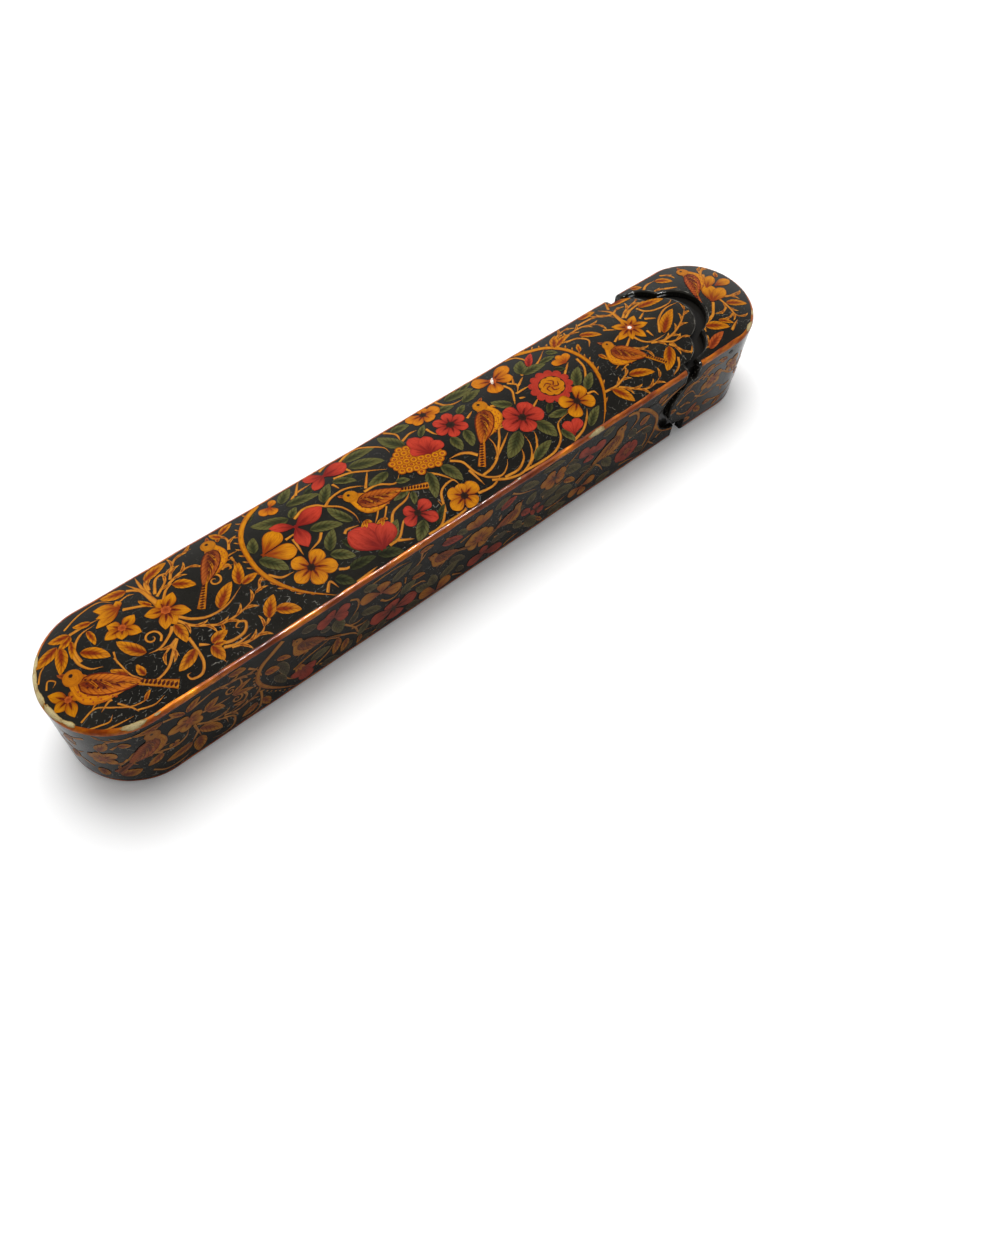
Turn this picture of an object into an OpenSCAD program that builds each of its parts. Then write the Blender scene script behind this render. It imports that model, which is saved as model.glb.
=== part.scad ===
// Pen box of lacquered papier-mache with a sliding drawer and its writing set.
// X runs along the box, and the drawer pulls out towards +X. Z is up, and the box rests on Z = 0.
// The origin is under the middle of the box as it lies, with the drawer a little open.

/* [Case] */
// Overall length with the drawer shut
case_length = 226; // [216:1:260]
// Overall width
case_width = 36; // [34:0.5:44]
// Height of the long top edges, where the border runs
edge_height = 28.5; // [27.5:0.5:36]
// Rise of the domed top above its edges
crown = 2.5; // [1:0.25:4]
// Thickness of the sleeve's pasted-paper wall
case_wall = 2; // [1.5:0.1:2.6]
// Rounding of the top edge
edge_round = 1.8; // [0.8:0.1:2.4]
// Rounding of the bottom edge
foot_round = 1.0; // [0.8:0.1:3]

/* [Drawer] */
// Running clearance between the drawer and the sleeve
drawer_clearance = 0.3; // [0.2:0.05:0.6]
// Thickness of the drawer's wall
tray_wall = 1.6; // [1.2:0.1:2.2]
// How far the drawer's rim stays below the top edges of the case
rim_drop = 7.5; // [5:0.5:9]
// Length of the roofed neck behind the shoulder of the sleeve
neck_length = 12; // [8:0.5:16]
// How far the drawer stands open as the box lies
ajar = 4; // [0:0.5:8]

/* [Lobed cut] */
// Distance from the shoulder of the cut to the end of the shut box
head_length = 34.5; // [32:0.5:40]
// Gap along the cut with the drawer shut
cut_gap = 0.3; // [0.2:0.05:0.6]
// Radius of the middle lobe of the tongue
lobe_r = 9.2; // [8:0.1:10]
// Reach of the middle lobe's centre past the shoulder
lobe_reach = 7; // [6:0.1:9]
// Radius of the two side lobes of the tongue
small_lobe_r = 6.6; // [6:0.1:7]
// Reach of the side lobes' centres past the shoulder
small_lobe_reach = 1.7; // [1:0.1:3]
// Distance from the side lobes to the inside of the sleeve's side walls
lobe_margin = 1; // [0.8:0.1:2]
// Radius of the round lobe on each side of the drawer's head
cheek_r = 8.7; // [6:0.1:9.5]
// Height of the middle of that lobe
cheek_height = 14.3; // [13:0.1:16]
// Distance of that middle past the shoulder
cheek_reach = 0.5; // [0:0.1:2]

/* [Inkwell] */
// Length of the inkwell along the box
well_length = 26; // [20:0.5:30]
// Width of the inkwell
well_width = 22; // [18:0.5:26]
// Height of the inkwell's tub
well_height = 7; // [6.5:0.1:7.4]
// Thickness of the inkwell's brass sheet
well_sheet = 0.8; // [0.6:0.1:1]
// Radius of the corners of the inkwell
well_corner = 5; // [3:0.25:7]
// Free depth over the silk wad, under the cover
wad_headroom = 3; // [2.5:0.1:3.5]
// Gap between the inkwell and the neck
well_gap = 2; // [1:0.25:4]
// Radius of the inkwell's mouth
mouth_r = 5.2; // [4.5:0.1:5.6]
// Height of the collar round the mouth
collar_height = 0.8; // [0.4:0.1:1.2]
// Radial width of the collar
collar_width = 0.9; // [0.6:0.1:1.2]
// Thickness of the hinged lid
lid_thickness = 0.9; // [0.7:0.1:1.2]
// Overhang of the lid past the collar
lid_overhang = 0.3; // [0:0.1:0.6]
// Radius of the hinge pin
pin_r = 0.5; // [0.4:0.05:0.6]
// Running clearance round the hinge pin
pin_clearance = 0.05; // [0.02:0.01:0.1]
// Outer radius of the hinge knuckles
knuckle_r = 1.1; // [1:0.05:1.3]
// Length of each hinge knuckle
knuckle_length = 3; // [2:0.25:3.5]

/* [Writing set] */
// Free length between the broad pen's nib and the inkwell
broad_pen_spare = 8; // [4:1:30]
// Outer radius of the broad reed pen
broad_pen_r = 3.7; // [3:0.1:4]
// Width of the broad pen's nib
broad_nib = 3.6; // [2.8:0.1:4.2]
// Free length between the fine pen's nib and the inkwell
fine_pen_spare = 17; // [4:1:40]
// Outer radius of the fine reed pen
fine_pen_r = 3.2; // [2.6:0.1:3.6]
// Width of the fine pen's nib
fine_nib = 2.2; // [1.4:0.1:2.8]
// Radius of the hollow in a reed
reed_bore_r = 1.8; // [1.2:0.1:1.9]
// Thickness of the nibbing plate
plate_thickness = 2.2; // [1.5:0.1:3]
// Length of the penknife's handle
handle_length = 74; // [60:1:80]
// Largest radius of the penknife's handle
handle_r = 3.4; // [2.6:0.1:3.6]
// Length of the penknife's ferrule
ferrule_length = 6; // [4:0.5:8]
// Length of the penknife's blade past the ferrule
blade_length = 26; // [20:0.5:30]
// Depth of the penknife's blade
blade_depth = 6; // [4:0.25:6.5]
// Thickness of the penknife's blade
blade_thickness = 1.2; // [0.8:0.1:1.6]
// Radius of the ladle's bowl
ladle_bowl_r = 4.2; // [3.4:0.1:4.5]
// Thickness of the ladle's bowl
ladle_wall = 0.7; // [0.5:0.05:0.9]
// Free length between the ladle's bowl and the inkwell
ladle_spare = 6; // [3:0.5:16]
// Length of the ladle's handle
ladle_length = 92; // [70:1:98]
// Radius of the ladle's handle
ladle_rod_r = 0.9; // [0.7:0.05:1.1]

/* [Hidden] */
$fn = 96;

// A hair's overlap that lets one shape cut cleanly through another
over = 1;
// Clearance between loose tools and what they lie on
lay_gap = 0.1;

// The case is a round-ended bar. Its nested skins share the two end centres and the crown's centre.
half_width = case_width / 2;
end_x = case_length / 2 - half_width;
top_z = edge_height + crown;
crown_r = (half_width * half_width + crown * crown) / (2 * crown);
crown_z = top_z - crown_r;

// Skins, as insets from the outside of the case
sleeve_inset = case_wall;
tray_inset = case_wall + drawer_clearance;
trough_inset = tray_inset + tray_wall;

// Places along the box with the drawer shut
shoulder_x = case_length / 2 - head_length;
neck_x = shoulder_x - neck_length;
cheek_x = shoulder_x + cheek_reach;
floor_z = trough_inset;
rim_z = edge_height - rim_drop;
trough_half = half_width - trough_inset;
small_lobe_y = half_width - case_wall - lobe_margin - small_lobe_r;

// Inkwell
well_right = neck_x - well_gap;
well_x = well_right - well_length / 2;
well_left = well_right - well_length;
cover_z = floor_z + well_height;
cover_top = cover_z + well_sheet;
collar_top = cover_top + collar_height;
collar_r = mouth_r + collar_width;
lid_r = collar_r + lid_overhang;
lid_gap = 0.1;
lid_z = collar_top + lid_gap;
hinge_gap = 0.35;
hinge_x = lid_r + hinge_gap + knuckle_r;
mouth_x = well_x - hinge_x / 2 + knuckle_r / 2;
hinge_z = max(cover_top + knuckle_r + lid_gap, lid_z + lid_thickness / 2);
knuckle_gap = 0.15;

// Writing set, laid side by side along the trough between its round end and the inkwell
tool_gap = 0.6;
tool_end = tool_gap - end_x - sqrt(pow(trough_half, 2) - pow(trough_half - tool_gap, 2));
broad_pen_y = -trough_half + tool_gap + broad_pen_r;
broad_pen_length = well_left - broad_pen_spare - tool_end;
fine_pen_y = broad_pen_y + broad_pen_r + tool_gap + fine_pen_r;
fine_pen_length = well_left - fine_pen_spare - tool_end;
ladle_y = trough_half - tool_gap - ladle_bowl_r;
ladle_bowl_x = well_left - ladle_spare - ladle_bowl_r;
plate_gap = 2;
plate_length = ladle_bowl_x - ladle_bowl_r - plate_gap - tool_end;
plate_left = fine_pen_y + fine_pen_r + tool_gap;
plate_width = trough_half - tool_gap - plate_left;
plate_y = plate_left + plate_width / 2;
plate_top = floor_z + lay_gap + plate_thickness;
knife_y = plate_left + handle_r;
knife_z = plate_top + lay_gap + handle_r;
ferrule_r = handle_r * 0.82;
ladle_rod_y = trough_half - 2 * tool_gap - ladle_rod_r;
ladle_rod_z = plate_top + lay_gap + ladle_rod_r;

lacquer = "#1c1916";
lacquer_red = "#6e2418";
brass = "#b08a3c";
reed = "#b98a52";
bone = "#e6dcc0";
steel = "#a7a9aa";
silk = "#15130f";

// Half of the case's cross-section, inset by the given depth. It has a flat base, rounded corners and a crown.
module half_section(inset) {
    r = half_width - inset;
    dome_r = crown_r - inset;
    edge_r = max(edge_round - inset, 0);
    foot_r = max(foot_round - inset, 0);
    edge_x = r - edge_r;
    edge_z = crown_z + sqrt(pow(dome_r - edge_r, 2) - pow(edge_x, 2));
    tangent_x = edge_x * dome_r / (dome_r - edge_r);
    base_z = inset + foot_r;
    intersection() {
        translate([0, crown_z]) circle(dome_r, $fn = 180);
        translate([0, base_z]) square([tangent_x, top_z - base_z]);
    }
    translate([0, base_z]) square([r, edge_z - base_z]);
    if (edge_r > 0) translate([edge_x, edge_z]) circle(edge_r);
    if (foot_r > 0) {
        translate([0, inset]) square([r - foot_r, foot_r + edge_r]);
        translate([r - foot_r, base_z]) circle(foot_r);
    }
}

// The whole round-ended bar, inset by the given depth.
module case_bar(inset) {
    rotate([90, 0, 90]) linear_extrude(2 * end_x, center = true) {
        half_section(inset);
        mirror([1, 0]) half_section(inset);
    }
    for (side = [1, -1])
        translate([side * end_x, 0, 0]) rotate([0, 0, -90 * side])
            rotate_extrude(angle = 180) half_section(inset);
}

// Everything on one side of an upright plane across the box.
module behind(x) {
    translate([x - 2 * case_length, -case_width, -over])
        cube([2 * case_length, 2 * case_width, top_z + 2 * over]);
}

// Plan of the three-lobed tongue that the sleeve lays over the drawer's head, grown by the given gap.
module tongue_plan(gap) {
    translate([shoulder_x + lobe_reach, 0]) circle(lobe_r + gap);
    for (side = [1, -1])
        translate([shoulder_x + small_lobe_reach, side * small_lobe_y]) circle(small_lobe_r + gap);
    root_half = small_lobe_y + small_lobe_r + gap;
    translate([shoulder_x - over, -root_half]) square([small_lobe_reach + over, 2 * root_half]);
    // The web between the three centres leaves no pocket where the lobes meet.
    polygon([
        [shoulder_x + lobe_reach, 0],
        [shoulder_x + small_lobe_reach, small_lobe_y],
        [shoulder_x + small_lobe_reach, -small_lobe_y],
    ]);
}

module tongue(gap) {
    translate([0, 0, -over]) linear_extrude(top_z + 2 * over) tongue_plan(gap);
}

// Round lobe on both sides of the drawer's head, as one bar across the box.
module cheeks(gap) {
    translate([cheek_x, 0, cheek_height]) rotate([90, 0, 0])
        cylinder(r = cheek_r + gap, h = 2 * case_width, center = true);
}

// Pieces are drawn with the drawer shut. These set the sleeve and the drawer as the box lies.
module on_sleeve() {
    translate([-ajar / 2, 0, 0]) children();
}

module on_drawer() {
    translate([ajar / 2, 0, 0]) children();
}

// Outer sleeve, closed at one end, with the lobed tongue over the drawer's head.
module sleeve_shell() {
    color(lacquer) on_sleeve() difference() {
        intersection() {
            case_bar(0);
            union() {
                behind(shoulder_x);
                tongue(0);
            }
        }
        case_bar(sleeve_inset);
        cheeks(cut_gap);
    }
}

// Open trough with a round tail, and a roofed neck that runs on into the head.
module trough_and_neck() {
    difference() {
        case_bar(tray_inset);
        case_bar(trough_inset);
        translate([0, 0, rim_z + over]) behind(neck_x);
    }
}

// Floor and straight sides of the drawer, with the neck.
module drawer_tray() {
    color(lacquer_red) on_drawer() difference() {
        trough_and_neck();
        behind(-end_x);
    }
}

// Round tail of the drawer, pasted to the floor and the straight sides.
module drawer_tail() {
    color(lacquer_red) on_drawer() intersection() {
        trough_and_neck();
        behind(-end_x);
    }
}

// End of the box that is glued over the neck and completes the sleeve's form.
module drawer_head() {
    color(lacquer) on_drawer() difference() {
        case_bar(0);
        case_bar(tray_inset);
        difference() {
            behind(shoulder_x + cut_gap);
            cheeks(0);
        }
        tongue(cut_gap);
    }
}

// Rectangle with round corners, centred on the inkwell.
module well_plan(inset) {
    corner = well_corner - inset;
    length = well_length - 2 * inset;
    width = well_width - 2 * inset;
    square([length - 2 * corner, width], center = true);
    square([length, width - 2 * corner], center = true);
    for (x = [1, -1], y = [1, -1])
        translate([x * (length / 2 - corner), y * (width / 2 - corner)]) circle(corner);
}

// Brass tub of the inkwell, standing on the drawer's floor.
module inkwell_tub() {
    color(brass) on_drawer() translate([well_x, 0, floor_z]) difference() {
        linear_extrude(well_height) well_plan(0);
        translate([0, 0, well_sheet]) linear_extrude(well_height) well_plan(well_sheet);
    }
}

// Round bar along the hinge line, centred on the lid's middle line.
module hinge_bar(r, length) {
    translate([mouth_x + hinge_x, 0, hinge_z]) rotate([90, 0, 0]) cylinder(r = r, h = length, center = true);
}

// Knuckle of the cover on one side of the lid's knuckle, with a foot down to the plate.
module cover_knuckle(side) {
    drop = hinge_z - cover_top;
    translate([0, side * (knuckle_length + knuckle_gap), 0]) difference() {
        union() {
            hinge_bar(knuckle_r, knuckle_length);
            translate([mouth_x + hinge_x, 0, cover_top + drop / 2])
                cube([2 * knuckle_r, knuckle_length, drop], center = true);
        }
        hinge_bar(pin_r + pin_clearance, knuckle_length + over);
    }
}

// Soldered cover of the inkwell, with the collared mouth and two hinge knuckles.
module inkwell_cover() {
    color(brass) on_drawer() {
        translate([0, 0, cover_z]) difference() {
            union() {
                translate([well_x, 0, 0]) linear_extrude(well_sheet) well_plan(0);
                translate([mouth_x, 0, 0]) cylinder(r = collar_r, h = well_sheet + collar_height);
            }
            translate([mouth_x, 0, -over]) cylinder(r = mouth_r, h = well_sheet + collar_height + 2 * over);
        }
        for (side = [1, -1]) cover_knuckle(side);
    }
}

// Round lid with a raised thumb knob and the middle knuckle.
module inkwell_lid() {
    knob_r = 2;
    knob_height = 0.9;
    color(brass) on_drawer() difference() {
        union() {
            translate([mouth_x, 0, lid_z]) {
                cylinder(r = lid_r, h = lid_thickness);
                cylinder(r = knob_r, h = lid_thickness + knob_height);
                translate([0, -knuckle_length / 2, 0]) cube([hinge_x, knuckle_length, lid_thickness]);
            }
            hinge_bar(knuckle_r, knuckle_length);
        }
        hinge_bar(pin_r + pin_clearance, knuckle_length + over);
    }
}

// Pin through the three knuckles.
module inkwell_hinge_pin() {
    color(steel) on_drawer() hinge_bar(pin_r, 3 * knuckle_length + 2 * knuckle_gap);
}

// Wad of silk that holds the ink, pressed into the tub.
module ink_wad() {
    wad_gap = 0.3;
    wad_height = well_height - well_sheet - wad_headroom;
    color(silk) on_drawer() translate([well_x, 0, floor_z + well_sheet + lay_gap])
        linear_extrude(wad_height) well_plan(well_sheet + wad_gap);
}

// Reed pen lying along X: a hollow cane with one joint ring, cut away to a split nib at +X.
module reed_pen(length, r, nib_width) {
    scoop_r = length / 5;
    cut_length = r * 6;
    nib_thickness = 0.75 * (r - reed_bore_r);
    ring_x = length * 0.28;
    difference() {
        union() {
            rotate([0, 90, 0]) cylinder(r = r, h = length);
            translate([ring_x, 0, 0]) rotate([0, 90, 0]) rotate_extrude()
                translate([r - 0.6, 0]) circle(0.68, $fn = 24);
        }
        translate([-over, 0, 0]) rotate([0, 90, 0]) cylinder(r = reed_bore_r, h = length + 2 * over);
        // The scoop leaves a tongue of the lower wall, and the slips at its sides leave the nib.
        translate([length - cut_length + scoop_r * 0.35, 0, scoop_r + nib_thickness - r])
            rotate([90, 0, 0]) cylinder(r = scoop_r, h = 3 * r, center = true);
        translate([length - cut_length + scoop_r * 0.35, -1.5 * r, nib_thickness - r])
            cube([cut_length + scoop_r, 3 * r, 3 * r]);
        for (side = [1, -1])
            translate([length - cut_length, side * (nib_width / 2 + r) - r, -1.5 * r])
                cube([cut_length + over, 2 * r, 3 * r]);
        translate([length - 0.5, 0, 0]) rotate([0, 0, 25])
            translate([0, -2 * r, -2 * r]) cube([4 * r, 4 * r, 4 * r]);
    }
}

module reed_pen_broad() {
    color(reed) on_drawer() translate([tool_end, broad_pen_y, floor_z + lay_gap + broad_pen_r])
        reed_pen(broad_pen_length, broad_pen_r, broad_nib);
}

module reed_pen_fine() {
    color(reed) on_drawer() translate([tool_end, fine_pen_y, floor_z + lay_gap + fine_pen_r])
        reed_pen(fine_pen_length, fine_pen_r, fine_nib);
}

// Bone plate on which a nib is cut, with a groove for the pen.
module nibbing_plate() {
    groove_r = 5;
    groove_depth = 0.7;
    end_r = plate_width / 2;
    color(bone) on_drawer() translate([tool_end, plate_y, floor_z + lay_gap]) difference() {
        linear_extrude(plate_thickness) {
            translate([end_r, -end_r]) square([plate_length - 2 * end_r, plate_width]);
            for (x = [end_r, plate_length - end_r]) translate([x, 0]) circle(end_r);
        }
        translate([plate_length - 3 * end_r, 0, plate_thickness + groove_r - groove_depth]) rotate([0, 90, 0])
            cylinder(r = groove_r, h = 2 * end_r);
    }
}

// Penknife along X, lying on the nibbing plate with its blade towards +X.
module at_knife() {
    on_drawer() translate([tool_end, knife_y, knife_z]) children();
}

module penknife_handle() {
    swell_x = handle_length * 0.6;
    tail_r = handle_r * 0.75;
    color(bone) at_knife() rotate([0, 90, 0]) {
        cylinder(r1 = tail_r, r2 = handle_r, h = swell_x);
        translate([0, 0, swell_x]) cylinder(r1 = handle_r, r2 = ferrule_r, h = handle_length - swell_x);
    }
}

module penknife_ferrule() {
    color(brass) at_knife() translate([handle_length, 0, 0]) rotate([0, 90, 0]) rotate_extrude() {
        square([ferrule_r, ferrule_length]);
        for (z = [0.2, 0.8]) translate([ferrule_r - 0.3, ferrule_length * z]) circle(0.5, $fn = 24);
    }
}

// Flat blade with a straight edge and a back that curves down to the point.
module penknife_blade() {
    back_r = (blade_length * blade_length + blade_depth * blade_depth) / (2 * blade_depth);
    color(steel) at_knife() translate([handle_length + ferrule_length, 0, -blade_thickness / 2])
        linear_extrude(blade_thickness) translate([0, -blade_depth / 2]) intersection() {
            square([blade_length, blade_depth]);
            translate([0, blade_depth - back_r]) circle(back_r, $fn = 360);
        }
}

// Small ladle for wetting the ink: a round bowl on the floor and a thin handle over the plate.
module water_ladle() {
    bowl_z = floor_z + lay_gap;
    bowl_height = max(ladle_bowl_r * 0.75, ladle_rod_z - bowl_z + ladle_rod_r);
    rod_end = ladle_bowl_x - ladle_bowl_r + ladle_wall;
    color(brass) on_drawer() difference() {
        union() {
            translate([ladle_bowl_x, ladle_y, bowl_z]) cylinder(r = ladle_bowl_r, h = bowl_height);
            translate([rod_end - ladle_length, ladle_rod_y, ladle_rod_z]) rotate([0, 90, 0])
                cylinder(r = ladle_rod_r, h = ladle_length + ladle_bowl_r);
        }
        translate([ladle_bowl_x, ladle_y, bowl_z + ladle_wall])
            cylinder(r = ladle_bowl_r - ladle_wall, h = bowl_height + over);
    }
}

sleeve_shell();
drawer_tray();
drawer_tail();
drawer_head();
inkwell_tub();
inkwell_cover();
inkwell_lid();
inkwell_hinge_pin();
ink_wad();
reed_pen_broad();
reed_pen_fine();
nibbing_plate();
penknife_handle();
penknife_ferrule();
penknife_blade();
water_ladle();
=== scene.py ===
# %% [markdown]
# # A lacquered pen box
# The box is a slim bar with round ends, made of pasted paper, painted and varnished.
# A drawer slides in a sleeve, and the drawer's head completes the sleeve's form.
# The exact solids come in first as a fixed frame, and all that is added here lies on them.

# %% The frame
import math
import random

import bmesh
import bpy
import numpy as np
from mathutils import Matrix, Vector


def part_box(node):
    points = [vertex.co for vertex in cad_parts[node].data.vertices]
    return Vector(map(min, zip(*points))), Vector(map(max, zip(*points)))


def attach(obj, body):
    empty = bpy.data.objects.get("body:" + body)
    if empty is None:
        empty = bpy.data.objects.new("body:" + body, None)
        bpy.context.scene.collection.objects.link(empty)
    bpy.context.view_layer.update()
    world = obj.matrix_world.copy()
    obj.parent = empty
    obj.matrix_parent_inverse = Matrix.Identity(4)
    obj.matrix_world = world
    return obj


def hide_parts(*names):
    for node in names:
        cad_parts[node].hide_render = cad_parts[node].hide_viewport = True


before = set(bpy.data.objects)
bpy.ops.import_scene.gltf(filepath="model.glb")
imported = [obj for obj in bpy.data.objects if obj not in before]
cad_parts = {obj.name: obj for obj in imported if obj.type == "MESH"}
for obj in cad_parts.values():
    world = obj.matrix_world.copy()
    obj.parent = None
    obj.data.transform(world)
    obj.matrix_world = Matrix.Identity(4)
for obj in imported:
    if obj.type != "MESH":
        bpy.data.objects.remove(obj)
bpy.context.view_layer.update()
MM = 0.001


def add_object(name, data):
    """A new object in the scene for a mesh, a lamp or a lens."""
    made = bpy.data.objects.new(name, data)
    bpy.context.scene.collection.objects.link(made)
    return made


# %% [markdown]
# ## The camera
# The box is seen from above, from the side of its closed end. The view was found by fitting a pinhole camera
# to the outline, so its angles and distance are plain numbers here, in degrees and millimetres.

# %% Camera
VIEW_AZIMUTH = math.radians(-47.76)
VIEW_ELEVATION = math.radians(59.31)
VIEW_ROLL = math.radians(8.12)
VIEW_DISTANCE = 300.61
VIEW_SLIDE = (17.10, -28.98)
IMAGE_HEIGHT = 1250
FOCAL_PIXELS = 1050

back = Vector((
    math.sin(VIEW_AZIMUTH) * math.cos(VIEW_ELEVATION),
    -math.cos(VIEW_AZIMUTH) * math.cos(VIEW_ELEVATION),
    math.sin(VIEW_ELEVATION),
))
level = (-back).cross(Vector((0, 0, 1))).normalized()
upright = level.cross(-back)
right = math.cos(VIEW_ROLL) * level + math.sin(VIEW_ROLL) * upright
up = math.cos(VIEW_ROLL) * upright - math.sin(VIEW_ROLL) * level
eye = back * VIEW_DISTANCE + right * VIEW_SLIDE[0] + up * VIEW_SLIDE[1]

lens = bpy.data.cameras.new("camera")
lens.sensor_width = 36
lens.lens = FOCAL_PIXELS * lens.sensor_width / IMAGE_HEIGHT
lens.clip_start = 0.01
camera = add_object("camera", lens)
camera.matrix_world = Matrix((
    (right.x, up.x, back.x, eye.x * MM),
    (right.y, up.y, back.y, eye.y * MM),
    (right.z, up.z, back.z, eye.z * MM),
    (0, 0, 0, 1),
))
bpy.context.scene.camera = camera
bpy.context.scene.view_settings.view_transform = "Standard"
print("camera at", [round(v) for v in eye], "mm, lens", round(lens.lens, 2))

# %% [markdown]
# ## The form of the case
# Seen across, the case has a domed top, small round edges, upright sides and a flat base.
# The same half section runs along the box and is turned round an upright axis at each end.
# One function gives any point of that skin, so the shells and the painting on them always agree.

# %% Half section of the case
END_X = 97.0
HALF_WIDTH = 18.0
DOME_R = 66.05
DOME_Z = -35.05
EDGE_R = 1.8
FOOT_R = 1.0
EDGE_IN = HALF_WIDTH - EDGE_R
EDGE_Z = DOME_Z + math.sqrt((DOME_R - EDGE_R) ** 2 - EDGE_IN ** 2)
EDGE_LEAN = math.asin(EDGE_IN / (DOME_R - EDGE_R))
RUN_EDGE = DOME_R * EDGE_LEAN
RUN_WALL = RUN_EDGE + EDGE_R * (math.pi / 2 - EDGE_LEAN)
RUN_FOOT = RUN_WALL + EDGE_Z - FOOT_R


def arc(middle_r, middle_z, radius, first, last, count):
    """A round stretch of the section, as rows of r, z and the normal."""
    lean = np.linspace(first, last, count)
    return np.stack([middle_r + radius * np.sin(lean), middle_z + radius * np.cos(lean), np.sin(lean), np.cos(lean)])


def section_rows():
    """The half section from the middle of the top to the middle of the base."""
    dome = arc(0, DOME_Z, DOME_R, 0, EDGE_LEAN, 200)
    edge = arc(EDGE_IN, EDGE_Z, EDGE_R, EDGE_LEAN, math.pi / 2, 60)
    foot = arc(HALF_WIDTH - FOOT_R, FOOT_R, FOOT_R, math.pi / 2, math.pi, 60)
    base = np.array([[0], [0], [0], [-1.0]])
    rows = np.concatenate([dome, edge[:, 1:], foot, base], axis=1)
    return np.concatenate([[0], np.cumsum(np.hypot(np.diff(rows[0]), np.diff(rows[1])))]), rows


RUN, SECTION = section_rows()
RUN_END = RUN[-1]
print("run of the half section", round(RUN_END, 1), "mm, of which the dome", round(RUN_EDGE, 1))

# %% [markdown]
# Pasted paper is never quite even, and the varnish shows it as a slight waver in the reflections.
# The waver only goes inwards, and leaves room for the film of paint, so that the case keeps its size.

# %% Points on the skin
WAVER, ROOM_FOR_PAINT = 0.09, 0.17


def waver(at):
    """Depth of the hand-made unevenness, in millimetres."""
    x, y, z = at[..., 0], at[..., 1], at[..., 2]
    swell = np.sin(0.17 * x + 0.9 * np.sin(0.11 * y + 0.4)) + np.sin(0.31 * y + 0.23 * z + 0.05 * x)
    swell = swell + 0.7 * np.sin(0.41 * x - 0.27 * y + 0.33 * z)
    return WAVER * (swell / 2.7 - 1) - ROOM_FOR_PAINT


def skin(u, s, side, lift):
    """Points of the case in metres: u runs along the box and on round its ends, s down the section."""
    r, z, nr, nz = (np.interp(s, RUN, row) for row in SECTION)
    turn = np.clip(np.abs(u) - END_X, 0, None) / HALF_WIDTH
    out_x = np.sign(u) * np.sin(turn)
    out_y = side * np.cos(turn)
    at = np.stack([np.clip(u, -END_X, END_X) + r * out_x, r * out_y, z + 0 * out_x], -1)
    normal = np.stack([nr * out_x, nr * out_y, nz + 0 * out_x], -1)
    lift = lift + waver(at) * np.clip(1 + lift, 0, 1)
    return (at + normal * lift[..., None]) * MM


print("waver from", round(-2 * WAVER - ROOM_FOR_PAINT, 2), "to", -ROOM_FOR_PAINT, "mm")

# %% [markdown]
# ## The lobed cut
# The sleeve ends in a tongue of three lobes above and below, and the head has a round lobe on each side.
# The two shells are cut along the same curve, a little apart, and here the drawer stands a little open.

# %% The cut
LOBE_R, LOBE_REACH = 9.2, 7.0
SMALL_R, SMALL_REACH, SMALL_Y = 6.6, 1.7, 8.4
CHEEK_R, CHEEK_Z, CHEEK_REACH = 8.7, 14.3, 0.5
CUT_GAP = 0.3
SLEEVE_SHOULDER, HEAD_SHOULDER = 76.5, 80.5


def tongue_reach(r, shoulder, grow):
    """How far the tongue reaches at the distance r from the middle line."""
    lobe = shoulder + LOBE_REACH + np.sqrt(np.clip((LOBE_R + grow) ** 2 - r ** 2, 0, None))
    small = shoulder + SMALL_REACH + np.sqrt(np.clip((SMALL_R + grow) ** 2 - (r - SMALL_Y) ** 2, 0, None))
    reach = np.where(r <= LOBE_R + grow, lobe, shoulder)
    return np.maximum(reach, np.where(np.abs(r - SMALL_Y) <= SMALL_R + grow, small, shoulder))


def cheek_back(z, radius):
    """How far the round side lobe reaches back at the height z."""
    return np.sqrt(np.clip(radius ** 2 - (z - CHEEK_Z) ** 2, 0, None))


def sleeve_end(s):
    r, z = np.interp(s, RUN, SECTION[0]), np.interp(s, RUN, SECTION[1])
    bite = cheek_back(z, CHEEK_R + CUT_GAP)
    end = tongue_reach(r, SLEEVE_SHOULDER, 0)
    return np.where(bite > CHEEK_REACH, SLEEVE_SHOULDER + CHEEK_REACH - bite, end)


def head_start(s):
    r, z = np.interp(s, RUN, SECTION[0]), np.interp(s, RUN, SECTION[1])
    lobe = cheek_back(z, CHEEK_R)
    start = np.maximum(tongue_reach(r, HEAD_SHOULDER, CUT_GAP), HEAD_SHOULDER + CUT_GAP)
    return np.where(lobe > CHEEK_REACH - CUT_GAP, HEAD_SHOULDER + CHEEK_REACH - lobe, start)


def section_runs(grow, cheek_r):
    """Places down the section for the rows of a shell, close together where the cut turns sharply."""
    quarter = np.linspace(0, math.pi / 2, 15)
    small = np.linspace(math.asin((LOBE_R - SMALL_Y) / SMALL_R), math.pi / 2, 13)[1:]
    r = np.concatenate([(LOBE_R + grow) * np.sin(quarter), SMALL_Y + (SMALL_R + grow) * np.sin(small),
                        [SMALL_Y + SMALL_R + grow + 0.08, 15.9]])
    z = np.concatenate([[26.4, 25.4, 24.4], CHEEK_Z + cheek_r * np.cos(np.linspace(0, math.pi, 31)), [4.6, 3.5]])
    return np.concatenate([
        DOME_R * np.arcsin(r / DOME_R), np.linspace(RUN_EDGE, RUN_WALL, 9), RUN_WALL + EDGE_Z - z,
        np.linspace(RUN_FOOT, RUN_FOOT + FOOT_R * math.pi / 2, 7), (RUN_END - r)[::-1],
    ])


print("tongue tip at", float(tongue_reach(np.array(0.0), SLEEVE_SHOULDER, 0)), "mm")

# %% [markdown]
# ## The two shells
# Each shell is one strip of quads per side: the outer skin, a soft rounded lip along the cut and the inner skin.
# The solids have sharp lips, so these meshes stand for them and keep their size and place.

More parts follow.
